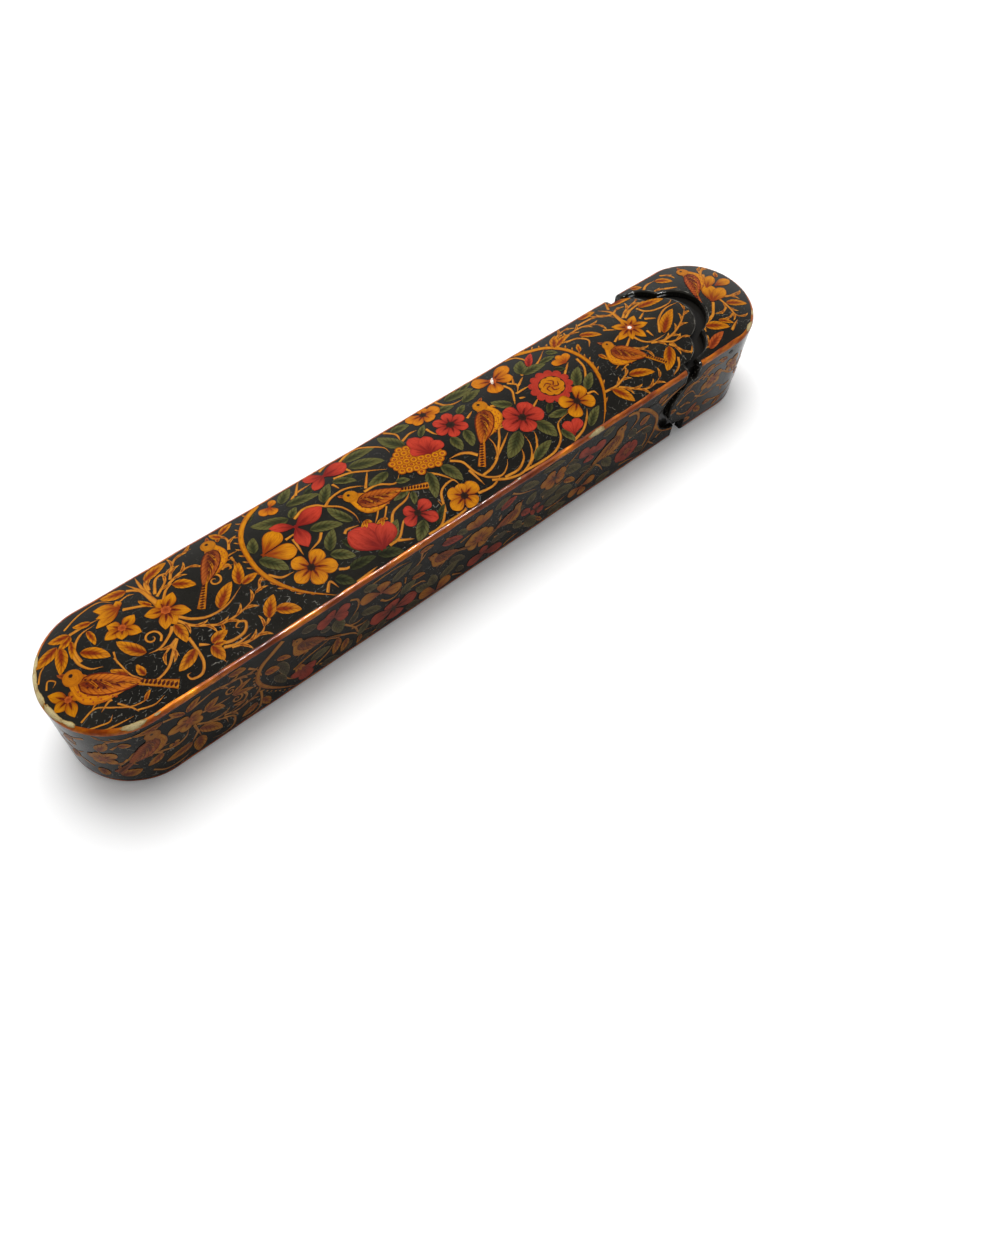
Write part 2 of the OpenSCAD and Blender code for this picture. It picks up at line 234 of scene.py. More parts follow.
# %% Shell builder
LIP = 0.45


def lip_steps(wall):
    """Setback and depth of the points round the lip, from the outer skin to the inner one."""
    a = np.linspace(0, math.pi / 2, 5)
    outer = [(LIP * (1 - math.sin(t)), LIP * (1 - math.cos(t))) for t in a]
    inner = [(b, wall - d) for b, d in reversed(outer)]
    return outer + inner


def shell_half(s, cut, side, end, wall):
    """Grid of points for one half of a shell that closes at the end with that sign."""
    slope_s, slope_x = np.gradient(s), np.gradient(cut)
    size = np.hypot(slope_s, slope_x)
    out_x, out_s = -end * slope_s / size, end * slope_x / size
    tip = end * (END_X + HALF_WIDTH * math.pi / 2)
    nose = np.linspace(tip, end * END_X, 18)[:-1]
    share = np.linspace(0, 1, 64)
    late = np.clip((share - 0.8) / 0.2, 0, 1) ** 2
    lip_x, lip_s = cut - LIP * out_x, s - LIP * out_s
    u = np.concatenate([np.repeat(nose[:, None], len(s), 1),
                        end * END_X + share[:, None] * (lip_x - end * END_X)])
    run = np.concatenate([np.repeat(s[None], len(nose), 0), s + late[:, None] * (lip_s - s)])
    depth = np.zeros_like(u)
    lips = lip_steps(wall)
    lip_u = np.stack([cut - b * out_x for b, d in lips])[1:-1]
    lip_run = np.stack([s - b * out_s for b, d in lips])[1:-1]
    lip_depth = np.stack([np.full(len(s), d) for b, d in lips])[1:-1]
    u = np.concatenate([u, lip_u, u[::-1]])
    run = np.clip(np.concatenate([run, lip_run, run[::-1]]), 0, RUN_END)
    depth = np.concatenate([depth, lip_depth, np.full_like(depth, wall)])
    return skin(u, run, side, -depth)


def grid_faces(rows, columns, first=0):
    """Quads between neighbouring rows and columns of a grid of points."""
    corner = np.arange((rows - 1) * columns).reshape(rows - 1, columns)[:, :-1].ravel() + first
    return np.stack([corner, corner + 1, corner + columns + 1, corner + columns], -1)


def shell(name, s, cut, end, wall):
    """The whole shell as a closed mesh."""
    halves = [shell_half(s, cut, side, end, wall) for side in (1, -1)]
    rows, columns = halves[0].shape[:2]
    points = np.concatenate([h.reshape(-1, 3) for h in halves])
    faces = np.concatenate([grid_faces(rows, columns), grid_faces(rows, columns, rows * columns)])
    mesh = bpy.data.meshes.new(name)
    mesh.from_pydata(points.tolist(), [], faces.tolist())
    shape = bmesh.new()
    shape.from_mesh(mesh)
    bmesh.ops.remove_doubles(shape, verts=shape.verts, dist=2e-6)
    bmesh.ops.dissolve_degenerate(shape, edges=shape.edges, dist=1e-7)
    bmesh.ops.recalc_face_normals(shape, faces=shape.faces)
    open_edges = sum(1 for e in shape.edges if len(e.link_faces) != 2)
    shape.to_mesh(mesh)
    shape.free()
    mesh.shade_smooth()
    print(name, len(mesh.polygons), "faces,", open_edges, "open edges")
    return add_object(name, mesh)


# %% Sleeve and head
SLEEVE_WALL, HEAD_WALL = 2.0, 2.28
sleeve_runs = section_runs(0, CHEEK_R + CUT_GAP)
sleeve = shell("sleeve_case", sleeve_runs, sleeve_end(sleeve_runs), -1, SLEEVE_WALL)
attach(sleeve, "sleeve")
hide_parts("sleeve_shell")
head_runs = section_runs(CUT_GAP, CHEEK_R)
head = shell("head_case", head_runs, head_start(head_runs), 1, HEAD_WALL)
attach(head, "drawer")
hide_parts("drawer_head")

# %% [markdown]
# ## Writing materials as sums
# A material is a tree of nodes. To keep its maths readable, a small class wraps a socket,
# and adding or multiplying two of them adds the Math node. Every other node comes from one method.

# %% Sockets as values
class Wire:
    """One socket of a material's tree, or a fresh start in that tree."""

    def __init__(self, tree, socket=None):
        self.tree, self.socket = tree, socket

    def node(self, kind, settings=None, sockets=None, out=0):
        """Adds a node: its settings first, then the values or links of its sockets."""
        made = self.tree.nodes.new("ShaderNode" + kind)
        for name, value in (settings or {}).items():
            if name == "stops":
                while len(made.color_ramp.elements) < len(value):
                    made.color_ramp.elements.new(1)
                for stop, (place, tone) in zip(made.color_ramp.elements, value):
                    stop.position, stop.color = place, (*tone, 1)
            else:
                setattr(made, name, value)
        for name, value in (sockets or {}).items():
            if isinstance(value, Wire):
                self.tree.links.new(value.socket, made.inputs[name])
            else:
                made.inputs[name].default_value = value
        return Wire(self.tree, made.outputs[out] if made.outputs else None)

    def math(self, operation, *values, clamp=False):
        return self.node("Math", {"operation": operation, "use_clamp": clamp}, dict(enumerate(values)))

    def __add__(self, other):
        return self.math("ADD", self, other)

    def __sub__(self, other):
        return self.math("SUBTRACT", self, other)

    def __rsub__(self, other):
        return self.math("SUBTRACT", other, self)

    def __mul__(self, other):
        return self.math("MULTIPLY", self, other)

    def __gt__(self, other):
        return self.math("GREATER_THAN", self, other)

    __radd__, __rmul__ = __add__, __mul__

    def step(self, low, high):
        """0 below low, 1 above high, smooth between."""
        return self.node("MapRange", {"interpolation_type": "SMOOTHSTEP"}, {0: self, 1: low, 2: high})


def start(name):
    """A new material with an empty tree."""
    material = bpy.data.materials.new(name)
    material.use_nodes = True
    material.node_tree.nodes.clear()
    return material, Wire(material.node_tree)


def close(tree, surface):
    tree.node("OutputMaterial", None, {"Surface": surface})


def mix(share, first, second):
    """Colour between two colours."""
    tree = next(w for w in (share, first, second) if isinstance(w, Wire))
    values = [v if isinstance(v, Wire) else (*v, 1) for v in (first, second)]
    return tree.node("Mix", {"data_type": "RGBA"}, {0: share, 6: values[0], 7: values[1]}, out=2)


def noise(tree, place, scale, detail=4.0, rough=0.5, lean=0.0):
    """Cloudy value from 0 to 1."""
    return tree.node("TexNoise", None, {"Vector": place, "Scale": scale, "Detail": detail, "Roughness": rough,
                                        "Distortion": lean})


def stretched(place, x, y, z):
    """The same place with its three directions scaled."""
    return place.node("VectorMath", {"operation": "MULTIPLY"}, {0: place, 1: (x, y, z)})


print("socket maths ready")

# %% [markdown]
# ## The varnished black ground
# The ground is black paint under a warm varnish that has picked up fine scratches, dust and rubbed patches.
# A clear coat gives the gloss. Its scratches are thin stretched noise, and its waver is a low bump.

# %% Black lacquer
GROUND = (0.0075, 0.0066, 0.0052)
GROUND_DUSTY = (0.022, 0.020, 0.015)
SCRATCHED = (0.20, 0.19, 0.16)
DULL_SIDE, HEAD_GLOSS, NOSE_GLOSS = 0.14, 0.65, 0.3
HEAD_RISE, NOSE_RISE, EDGE_RISE = (0.078, 0.096), (0.098, 0.112), (0.0262, 0.0282)


def scratches(place, along, across, cover):
    """Thin lines, long in one direction."""
    field = noise(place, stretched(place, along, across, across), 1.0, 6.0, 0.65, 0.6)
    return field.step(cover, cover + 0.06)


def upper_face(place):
    """1 on the top and its edges, less on the sides: their varnish is dull except at the ends, which are handled."""
    along, height = (place.node("SeparateXYZ", None, {0: place}, out=k) for k in (0, 2))
    side = DULL_SIDE + HEAD_GLOSS * along.step(*HEAD_RISE) + NOSE_GLOSS * (0.0 - along).step(*NOSE_RISE)
    return side + (1 - side) * height.step(*EDGE_RISE)


def lacquer(name, ground=GROUND, dusty=GROUND_DUSTY):
    material, tree = start(name)
    place = tree.node("TexCoord", out=3)
    across = tree.node("SeparateXYZ", None, {0: place}, out=1)
    cells = stretched(place, 420.0, 700.0, 420.0)
    crackle = tree.node("TexVoronoi", {"feature": "DISTANCE_TO_EDGE"}, {"Vector": cells, "Scale": 1.0})
    specks = noise(tree, place, 900.0, 3.0, 0.6).step(0.52, 0.60)
    broken = specks * noise(tree, place, 60.0, 3.0, 0.6).step(0.38, 0.60)
    ticks = (1 - crackle.step(0.01, 0.05)) * broken * (0.25 + 0.75 * (0.0 - across).step(0.001, 0.010))
    cloud = noise(tree, place, 45.0, 5.0, 0.6)
    fine = noise(tree, place, 900.0, 3.0, 0.6)
    marks = scratches(place, 180.0, 1500.0, 0.64) + scratches(place, 1300.0, 240.0, 0.66)
    dust = fine.step(0.62, 0.78) * cloud.step(0.35, 0.7)
    tone = mix(cloud.step(0.3, 0.75) * 0.6 + marks * 0.35 + dust * 0.3, ground, dusty)
    tone = mix(ticks * 0.8, tone, SCRATCHED)
    rough = 0.16 + cloud * 0.1 + marks * 0.2 + dust * 0.15 + ticks * 0.2
    height = cloud * 0.5 + fine * 0.05 - marks * 0.08
    bump = tree.node("Bump", None, {"Strength": 0.25, "Distance": 0.0004, "Height": height})
    close(tree, tree.node("BsdfPrincipled", None, {
        "Base Color": tone, "Roughness": rough, "Normal": bump,
        "Coat Weight": (0.62 - marks * 0.2) * upper_face(place),
        "Coat Roughness": 0.09, "Coat IOR": 1.46, "Specular IOR Level": 0.02,
    }))
    return material


black_lacquer = lacquer("black_lacquer")
for shell_piece in (sleeve, head):
    shell_piece.data.materials.append(black_lacquer)
print("black lacquer on", sleeve.name, "and", head.name)

# %% [markdown]
# ## Painting the ornament
# The painter draws stems first, then leaves, flowers and birds over them, with a fine brush.
# Each stroke is made the same way, as a small grid of points that is laid on the skin with a little lift.
# A picture wrapped on the box would blur when seen close, and a stroke of mesh keeps its fine edge at any distance.

# %% Faces to paint on
TOP_EDGE = 16.9
SIDE_TOP, SIDE_FOOT = 26.4, 1.7
CUT_ROOM = 0.55
SPILL = 0.9
TOP_LEAN, TOP_TILT, TOP_SQUEEZE, TOP_SHIFT = 0.0326, 0.0029, 0.9446, (0.92, 0.31)
SIDE_LEAN, SIDE_SQUEEZE, SIDE_SHIFT = 0.0771, (1.0082, 0.98), (1.30, 0.4)


def lay_top(x, y):
    """Plan of the top to places on the skin. The pattern was laid down a hair askew."""
    x, y = x - TOP_LEAN * y - TOP_SHIFT[0], TOP_SQUEEZE * y + TOP_TILT * x - TOP_SHIFT[1]
    over = np.clip(np.abs(x) - END_X, 0, None)
    rho = np.maximum(np.hypot(over, y), 1e-6)
    shrink = np.minimum(1, TOP_EDGE / rho)
    turn = np.arctan2(over, np.abs(y))
    u = np.where(over > 0, np.sign(x) * (END_X + HALF_WIDTH * turn), x)
    return u, DOME_R * np.arcsin(rho * shrink / DOME_R), np.where(y < 0, -1, 1), rho - TOP_EDGE


def lay_side(side):
    """Unrolled side of the case to places on the skin."""
    def lay(x, z):
        x, z = SIDE_SQUEEZE[0] * x - SIDE_LEAN * z + SIDE_SHIFT[0], SIDE_SQUEEZE[1] * z + SIDE_SHIFT[1]
        past = np.maximum(z - SIDE_TOP, SIDE_FOOT - z)
        return x, RUN_WALL + EDGE_Z - np.clip(z, SIDE_FOOT, SIDE_TOP), side + 0 * x, past
    return lay


def keep_sleeve(u, s):
    end = sleeve_end(s) - CUT_ROOM
    return np.minimum(u, end), u - end


def keep_head(u, s):
    first = head_start(s) + CUT_ROOM
    return np.maximum(u, first), first - u


print("painted faces: top to", TOP_EDGE, "mm from the middle, sides from", SIDE_FOOT, "to", SIDE_TOP)

# %% A painting gathers strokes
FILM, LAYER, LAYER_PART, LAYER_PARTS = 0.03, 0.016, 0.002, 8
# Painted reflection: the grey-brown haze that dimmed paint is mixed towards, standing for pale surroundings seen in
# the varnish.
PAINTED_REFLECTION_HAZE = np.array([0.105, 0.074, 0.052])
STROKE_MARK = 3.7


class Painting:
    """Strokes of paint on one face of one body, gathered into one thin mesh. A shade factor below 1 darkens the
    colours as painted shade and mixes in a painted reflection haze.
    """

    def __init__(self, lay, keep, painted_shade_factor=1.0):
        self.lay, self.keep, self.painted_shade_factor = lay, keep, painted_shade_factor
        self.points, self.faces, self.paint, self.brush = [], [], [], []
        self.total = self.strokes = 0

    def stroke(self, grid, tones, layer, size, veined=False):
        """One grid of points of the flat drawing, with its colours, its length and half width. Leaves have veins."""
        rows, columns = grid.shape[:2]
        u, s, side, past = self.lay(grid[..., 0], grid[..., 1])
        u, beyond = self.keep(u, s)
        past = np.maximum(past, beyond).ravel()
        lift = FILM + LAYER * layer + LAYER_PART * (self.strokes % LAYER_PARTS)
        faces = grid_faces(rows, columns)
        held = (past[faces] < SPILL).all(1) & (past[faces] < 0).any(1)
        self.points.append(skin(u, s, side, np.full(u.shape, lift)).reshape(-1, 3))
        self.faces.append(faces[held] + self.total)
        # Painted shade and painted reflection: the colours are darkened and mixed towards the grey-brown haze.
        tones = tones * self.painted_shade_factor + PAINTED_REFLECTION_HAZE * (1 - self.painted_shade_factor)
        self.paint.append(np.broadcast_to(tones, (rows, columns, 3)).reshape(-1, 3))
        t, v = np.meshgrid(np.linspace(0, size[0], rows), np.linspace(-size[1], size[1], columns), indexing="ij")
        mark = (self.strokes + 1) * (-STROKE_MARK if veined else STROKE_MARK)
        self.brush.append(np.stack([t, v, np.full_like(t, mark)], -1).reshape(-1, 3))
        self.total += rows * columns
        self.strokes += 1

    def build(self, name, body, material):
        """Turns the strokes into a mesh that rides on a body."""
        points, faces = np.concatenate(self.points), np.concatenate(self.faces)
        used, faces = np.unique(faces, return_inverse=True)
        mesh = bpy.data.meshes.new(name)
        mesh.from_pydata(points[used].tolist(), [], faces.reshape(-1, 4).tolist())
        paint = np.concatenate(self.paint)[used]
        paint = np.concatenate([paint, np.ones((len(used), 1))], 1)
        mesh.attributes.new("paint", "FLOAT_COLOR", "POINT").data.foreach_set("color", paint.ravel())
        brush = np.concatenate(self.brush)[used]
        mesh.attributes.new("brush", "FLOAT_VECTOR", "POINT").data.foreach_set("vector", brush.ravel())
        mesh.materials.append(material)
        shape = bmesh.new()
        shape.from_mesh(mesh)
        upside = [f for f in shape.faces if f.normal.dot(outwards(f.calc_center_median())) < 0]
        bmesh.ops.reverse_faces(shape, faces=upside)
        bmesh.ops.dissolve_degenerate(shape, edges=shape.edges, dist=1e-7)
        shape.to_mesh(mesh)
        shape.free()
        mesh.shade_smooth()
        piece = add_object(name, mesh)
        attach(piece, body)
        print(name, self.strokes, "strokes", len(mesh.polygons), "faces")


def outwards(at):
    """Rough outward direction of the case at a point."""
    if at.z > EDGE_Z * MM:
        return Vector((0, 0, 1))
    ends = END_X * MM
    return Vector((at.x - min(max(at.x, -ends), ends), at.y, 0))


print("strokes lie", FILM, "mm above the skin, and each layer", LAYER, "mm higher")

# %% [markdown]
# A stroke follows a path and swells and thins along it. Leaves, petals, stems and feathers
# differ only in their path, in how the brush swells, and in where the second colour is worked in.

# %% Paths and strokes
def tone_mix(share, pair):
    """Colours between the light and the dark paint of a pair."""
    share = np.clip(share, 0, 1)[..., None]
    return (1 - share) * np.array(pair[0]) + share * np.array(pair[1])


def ribbon(path, half, columns):
    """Grid of points across a path with the given half widths."""
    run = np.gradient(path, axis=0)
    run = run / np.maximum(np.hypot(run[:, 0], run[:, 1]), 1e-9)[:, None]
    across = np.stack([-run[:, 1], run[:, 0]], -1)
    v = np.linspace(-1, 1, columns)
    return path[:, None] + across[:, None] * half[:, None, None] * v[None, :, None]


def smooth_path(points, steps=6):
    """A curve through the points."""
    p = np.array(points, float)
    p = np.concatenate([[2 * p[0] - p[1]], p, [2 * p[-1] - p[-2]]])
    t = np.linspace(0, 1, steps, endpoint=False)[:, None]
    parts = []
    for a, b, c, d in zip(p, p[1:], p[2:], p[3:]):
        parts.append(0.5 * (2 * b + (c - a) * t + (2 * a - 5 * b + 4 * c - d) * t ** 2
                            + (3 * b - a - 3 * c + d) * t ** 3))
    return np.concatenate(parts + [p[-2:-1]])


def bowed(base, tip, bend, rows):
    """A path from base to tip that bows to the left by a share of its length."""
    base, tip = np.array(base, float), np.array(tip, float)
    run = tip - base
    middle = (base + tip) / 2 + bend * np.array([-run[1], run[0]])
    t = np.linspace(0, 1, rows)[:, None]
    return (1 - t) ** 2 * base + 2 * t * (1 - t) * middle + t ** 2 * tip


def span(base, tip):
    """Length between two points of the drawing."""
    return float(np.hypot(tip[0] - base[0], tip[1] - base[1]))


STROKE_ROWS, LEAF_COLUMNS, PETAL_COLUMNS = 15, 9, 11


def leaf(sheet, base, tip, width, pair, layer=2, bend=0.1, belly=0.42):
    """A pointed leaf with a light rim, a dark rib and dark paint worked into its middle."""
    t = np.linspace(0, 1, STROKE_ROWS)
    swell = np.sin(math.pi * t ** (math.log(0.5) / math.log(belly))) ** 0.7
    v = np.linspace(-1, 1, LEAF_COLUMNS)[None]
    path = bowed(base, tip, bend, STROKE_ROWS)
    t = t[:, None]
    core = np.clip(1.5 * np.exp(-((t - 0.36) / 0.36) ** 2 - ((v + 0.1) / 0.52) ** 2) - 0.25, 0, 1)
    rib = 0.6 * np.exp(-(v / 0.13) ** 2) * (1 - 0.6 * t)
    share = 0.95 * core + rib + 0.7 * (1 - t) ** 5 + 0.3 * (v > 0) * (1 - v)
    grid = ribbon(path, swell * width / 2, LEAF_COLUMNS)
    sheet.stroke(grid, tone_mix(share, pair), layer, (span(base, tip), width / 2), True)


POINTED = 0.56


def petal(sheet, base, tip, width, pair, layer=3, round_=0.64, dark=1.0, notch=0.0):
    """A petal with a round end, dark veins from its root and a light rim."""
    t = np.linspace(0, 1, STROKE_ROWS)
    fullness = 0.62 if round_ > POINTED else 0.95
    swell = np.sin(math.pi * t ** (math.log(0.5) / math.log(round_))) ** fullness
    swell[0] = 0.22
    v = np.linspace(-1, 1, PETAL_COLUMNS)[None]
    path = bowed(base, tip, 0.0, STROKE_ROWS)
    t = t[:, None]
    veins = (0.5 + 0.5 * np.cos(7.5 * v)) * np.clip(1.15 - 1.5 * t, 0, 1)
    root = dark * 1.1 * (1 - t) ** 1.7 + 0.9 * dark * veins * (1 - v ** 2)
    share = root + 0.55 * (np.abs(v) > 0.93) + 0.45 * t ** 14
    grid = ribbon(path, swell * width / 2, PETAL_COLUMNS)
    back = (np.array(tip) - np.array(base)) * (-notch * np.exp(-(v / 0.3) ** 2) * t ** 9)[..., None]
    sheet.stroke(grid + back, tone_mix(share, pair), layer, (span(base, tip), width / 2))


def stem(sheet, points, pair, width=0.5, thin=0.5, layer=0):
    """A stem that thins towards its end, lighter along one side."""
    path = smooth_path(points)
    along = np.linspace(0, 1, len(path))
    half = width / 2 * (1 + (thin - 1) * along) * np.clip((1 - along) / 0.34, 0.08, 1) ** 0.7
    length = float(np.hypot(*np.diff(path, axis=0).T).sum())
    share = np.linspace(0.0, 0.35, len(path))[:, None] + np.array([[0.75, 0.1, 0.0, 0.45]])
    sheet.stroke(ribbon(path, half, 4), tone_mix(share, pair), layer, (length, width / 2))
    return path


LOBE_STEPS, DAB_STEPS, DAB_RINGS = 8, 18, 6


def disc(sheet, middle, radius, pair, layer=5, lobes=0, depth=0.12, spin=0.0, rim_dark=0.0):
    """A round dab, or a rosette where lobes are given."""
    a = np.linspace(0, 2 * math.pi, (LOBE_STEPS * lobes if lobes else DAB_STEPS) + 1)
    rim = radius * (1 + (depth * (np.abs(np.sin(lobes * (a - spin) / 2)) ** 0.6 - 0.6) if lobes else 0 * a))
    r = np.linspace(0.02, 1, DAB_RINGS)[None]
    grid = np.stack([middle[0] + (rim * np.cos(a))[:, None] * r, middle[1] + (rim * np.sin(a))[:, None] * r], -1)
    share = (1 - r) * (0.9 - rim_dark) + rim_dark * r ** 3 + 0 * a[:, None]
    sheet.stroke(grid, tone_mix(share, pair), layer, (radius * 6, radius))


print("stroke helpers ready")

# %% [markdown]
# ## The paints
# The painter had few colours: gold-yellow, orange, red, a dull green and brown. Under old varnish all turn warm.
# Each is a pair, the light paint and the darker one that is worked into it.

# %% Paints
GOLD = ((0.52, 0.195, 0.002), (0.20, 0.028, 0.002))
AMBER = ((0.50, 0.180, 0.002), (0.18, 0.022, 0.002))
YELLOW = ((0.54, 0.200, 0.002), (0.22, 0.032, 0.002))
ORANGE = ((0.53, 0.175, 0.003), (0.23, 0.032, 0.003))
RED = ((0.44, 0.038, 0.018), (0.17, 0.010, 0.007))
GREEN = ((0.102, 0.099, 0.028), (0.026, 0.029, 0.009))
DEEP_GREEN = ((0.040, 0.044, 0.013), (0.012, 0.014, 0.006))
STEM = ((0.54, 0.215, 0.018), (0.22, 0.050, 0.006))
BROWN = ((0.32, 0.075, 0.012), (0.10, 0.016, 0.004))
RUST = ((0.42, 0.088, 0.014), (0.17, 0.022, 0.005))
DARK = ((0.030, 0.012, 0.007), (0.010, 0.006, 0.004))
# Painted highlight: white for the small glints on two flower hearts.
PAINTED_GLINT = ((0.86, 0.84, 0.78), (0.70, 0.64, 0.54))

brushwork, tree = start("brushwork")
paint = tree.node("Attribute", {"attribute_name": "paint"})
brush = tree.node("Attribute", {"attribute_name": "brush"}, out=1)
place = tree.node("TexCoord", out=3)
upper = upper_face(place)
along, across, mark = (tree.node("SeparateXYZ", None, {0: brush}, out=k) for k in range(3))
streak = noise(tree, stretched(brush, 0.5, 3.6, 1.0), 1.0, 4.0, 0.62, 0.4)
grain = noise(tree, place, 1500.0, 4.0, 0.6)
cloud = noise(tree, place, 60.0, 4.0, 0.6)
rib_wave = tree.math("SINE", (along - 1.2 * tree.math("ABSOLUTE", across)) * 4.4)
veins = rib_wave.step(0.35, 0.95) * tree.math("LESS_THAN", mark, 0.0)
streaked = tree.node("Mix", {"data_type": "RGBA", "blend_type": "MULTIPLY"}, {
    0: tree.math("MAXIMUM", streak.step(0.45, 0.72) * 0.8, veins * 0.75), 6: paint, 7: (0.46, 0.30, 0.22, 1)}, out=2)
lit = tree.node("Mix", {"data_type": "RGBA", "blend_type": "MULTIPLY"}, {
    0: (1 - streak).step(0.55, 0.80), 6: streaked, 7: (1.20, 1.32, 1.4, 1)}, out=2)
rubbed = grain.step(0.60, 0.74) * cloud.step(0.42, 0.68)
tone = mix(rubbed * 0.7, lit, GROUND)
bump = tree.node("Bump", None, {"Strength": 0.35, "Distance": 0.0001, "Height": streak + grain * 0.4})
close(tree, tree.node("BsdfPrincipled", None, {
    "Base Color": tone, "Roughness": 0.36 + grain * 0.2, "Normal": bump,
    "Coat Weight": (0.22 - rubbed * 0.14) * upper,
    "Coat Roughness": 0.1, "Coat IOR": 1.46, "Specular IOR Level": 0.03,
}))
print("brushwork material with", len(brushwork.node_tree.nodes), "nodes")

# %% [markdown]
# ## Motifs
# The same few motifs come back all over the box: open flowers, lilies, twigs with thorns, curls and nightingales.
# Each is a function of where it sits and how it turns, so a bed of flowers is a short list.

# %% Flowers, twigs and curls
HEART_RAY = (0.055, 0.010, 0.005)
FEATHER = ((0.50, 0.135, 0.006), (0.15, 0.020, 0.004))
WING = ((0.40, 0.098, 0.006), (0.13, 0.017, 0.004))


def polar(middle, angle, radius):
    return (middle[0] + radius * math.cos(angle), middle[1] + radius * math.sin(angle))


def petals(sheet, middle, tips, width, pair, layer=3, round_=0.64, heart=DARK, heart_r=0.8, notch=0.06):
    """A flower whose petals end at the given points; a third number in a point is that petal's own width."""
    for tip in tips:
        petal(sheet, middle, tip[:2], tip[2] if len(tip) > 2 else width, pair, layer, round_, 1.0, notch)
    if heart:
        for tip in tips:
            end = (middle[0] + 0.62 * (tip[0] - middle[0]), middle[1] + 0.62 * (tip[1] - middle[1]))
            leaf(sheet, middle, end, 0.85 * heart_r, (pair[1], HEART_RAY), layer + 1, 0.05, 0.3)
        disc(sheet, middle, 1.15 * heart_r, heart, layer + 2, 7, 0.25)


def flower(sheet, middle, radius, count, pair, turn=0.0, heart=DARK, heart_r=0.17, round_=0.64, layer=3):
    """An open flower with a ring of even petals that just touch."""
    width = 2 * 0.66 * radius * math.sin(math.pi / count)
    tips = [polar(middle, turn + 2 * math.pi * k / count, radius) for k in range(count)]
    petals(sheet, middle, tips, width, pair, layer, round_, heart, heart_r * radius)


TWIG_WIDTH, THORN, THORN_GAP, THORN_WIDTH = 0.8, 2.9, 2.5, 0.78


def thorns(sheet, path):
    """Pointed side shoots along a path, to each side in turn."""
    run = np.concatenate([[0], np.cumsum(np.hypot(*np.diff(path, axis=0).T))])
    for k, at in enumerate(np.arange(THORN_GAP * 0.7, run[-1] + 0.01, THORN_GAP)):
        x, y = np.interp(at, run, path[:, 0]), np.interp(at, run, path[:, 1])
        before = max(at - 0.4, 0)
        way = math.atan2(y - np.interp(before, run, path[:, 1]), x - np.interp(before, run, path[:, 0]))
        hand = 1 if k % 2 else -1
        tip = polar((x, y), way + 0.62 * hand, THORN * (1 + 0.25 * math.sin(5 * at)))
        leaf(sheet, (x, y), tip, THORN_WIDTH, STEM, 0, -0.24 * hand, 0.34)


def stems(sheet, lines, width, thin):
    """Plain stems of one width."""
    for line in lines:
        stem(sheet, line, STEM, width, thin)


def twigs(sheet, lines):
    """Stems with pointed shoots, like antlers."""
    for line in lines:
        thorns(sheet, stem(sheet, line, STEM, TWIG_WIDTH, 0.6))


def leaves(sheet, rows, pair, layer=2):
    """Leaves of one colour, each given by its root, its tip and its width."""
    for x0, y0, x1, y1, width in rows:
        leaf(sheet, (x0, y0), (x1, y1), width, pair, layer)


def curl(sheet, middle, radius, pair, turn=0.0, hand=1, width=0.6):
    """A tendril that winds up."""
    points = [polar(middle, turn + hand * a, radius * (1 - a / 9.5)) for a in np.linspace(0, 8.2, 14)]
    stem(sheet, points, pair, width, 0.7)


def scales(sheet, middle, reach, turn, radius, pair, layer=3):
    """A bloom of round overlapping scales, each with a dark line round it."""
    gap = 1.6 * radius
    for k, y in enumerate(np.arange(-reach[1], reach[1] + 0.01, 0.8 * gap)):
        for x in np.arange(-reach[0] - gap, reach[0] + gap, gap) + gap / 2 * (k % 2):
            if math.hypot(x / reach[0], y / reach[1]) < 1.02:
                at = polar(middle, turn + math.atan2(y, x), math.hypot(x, y))
                disc(sheet, at, radius, pair, layer + k % 2, rim_dark=1.5)
                disc(sheet, at, 0.36 * radius, (RUST[1], RUST[0]), layer + 2)


print("petals, flower, stems, twigs, leaves, curl and scales ready")

# %% [markdown]
# A nightingale is drawn from the side along a line from head to tail. Its back and breast are two rows of offsets
# from that line, and a wing with dark feathers, a long tail, a beak, an eye and two legs go on top.

# %% Birds
WING_EDGE, WING_TOP, WING_MARKS = 0.88, 1.76, 2.64
TAIL_ROWS, BODY_ROWS, BODY_COLUMNS = 9, 26, 11
BIRD_ALONG = [-0.07, -0.04, 0.0, 0.05, 0.10, 0.18, 0.28, 0.38, 0.48, 0.58, 0.66]
BIRD_BACK = [0.03, 0.065, 0.075, 0.06, 0.03, 0.01, 0.025, 0.03, 0.015, -0.005, -0.012]
BIRD_BREAST = [-0.02, -0.06, -0.10, -0.18, -0.24, -0.285, -0.285, -0.245, -0.165, -0.075, -0.035]


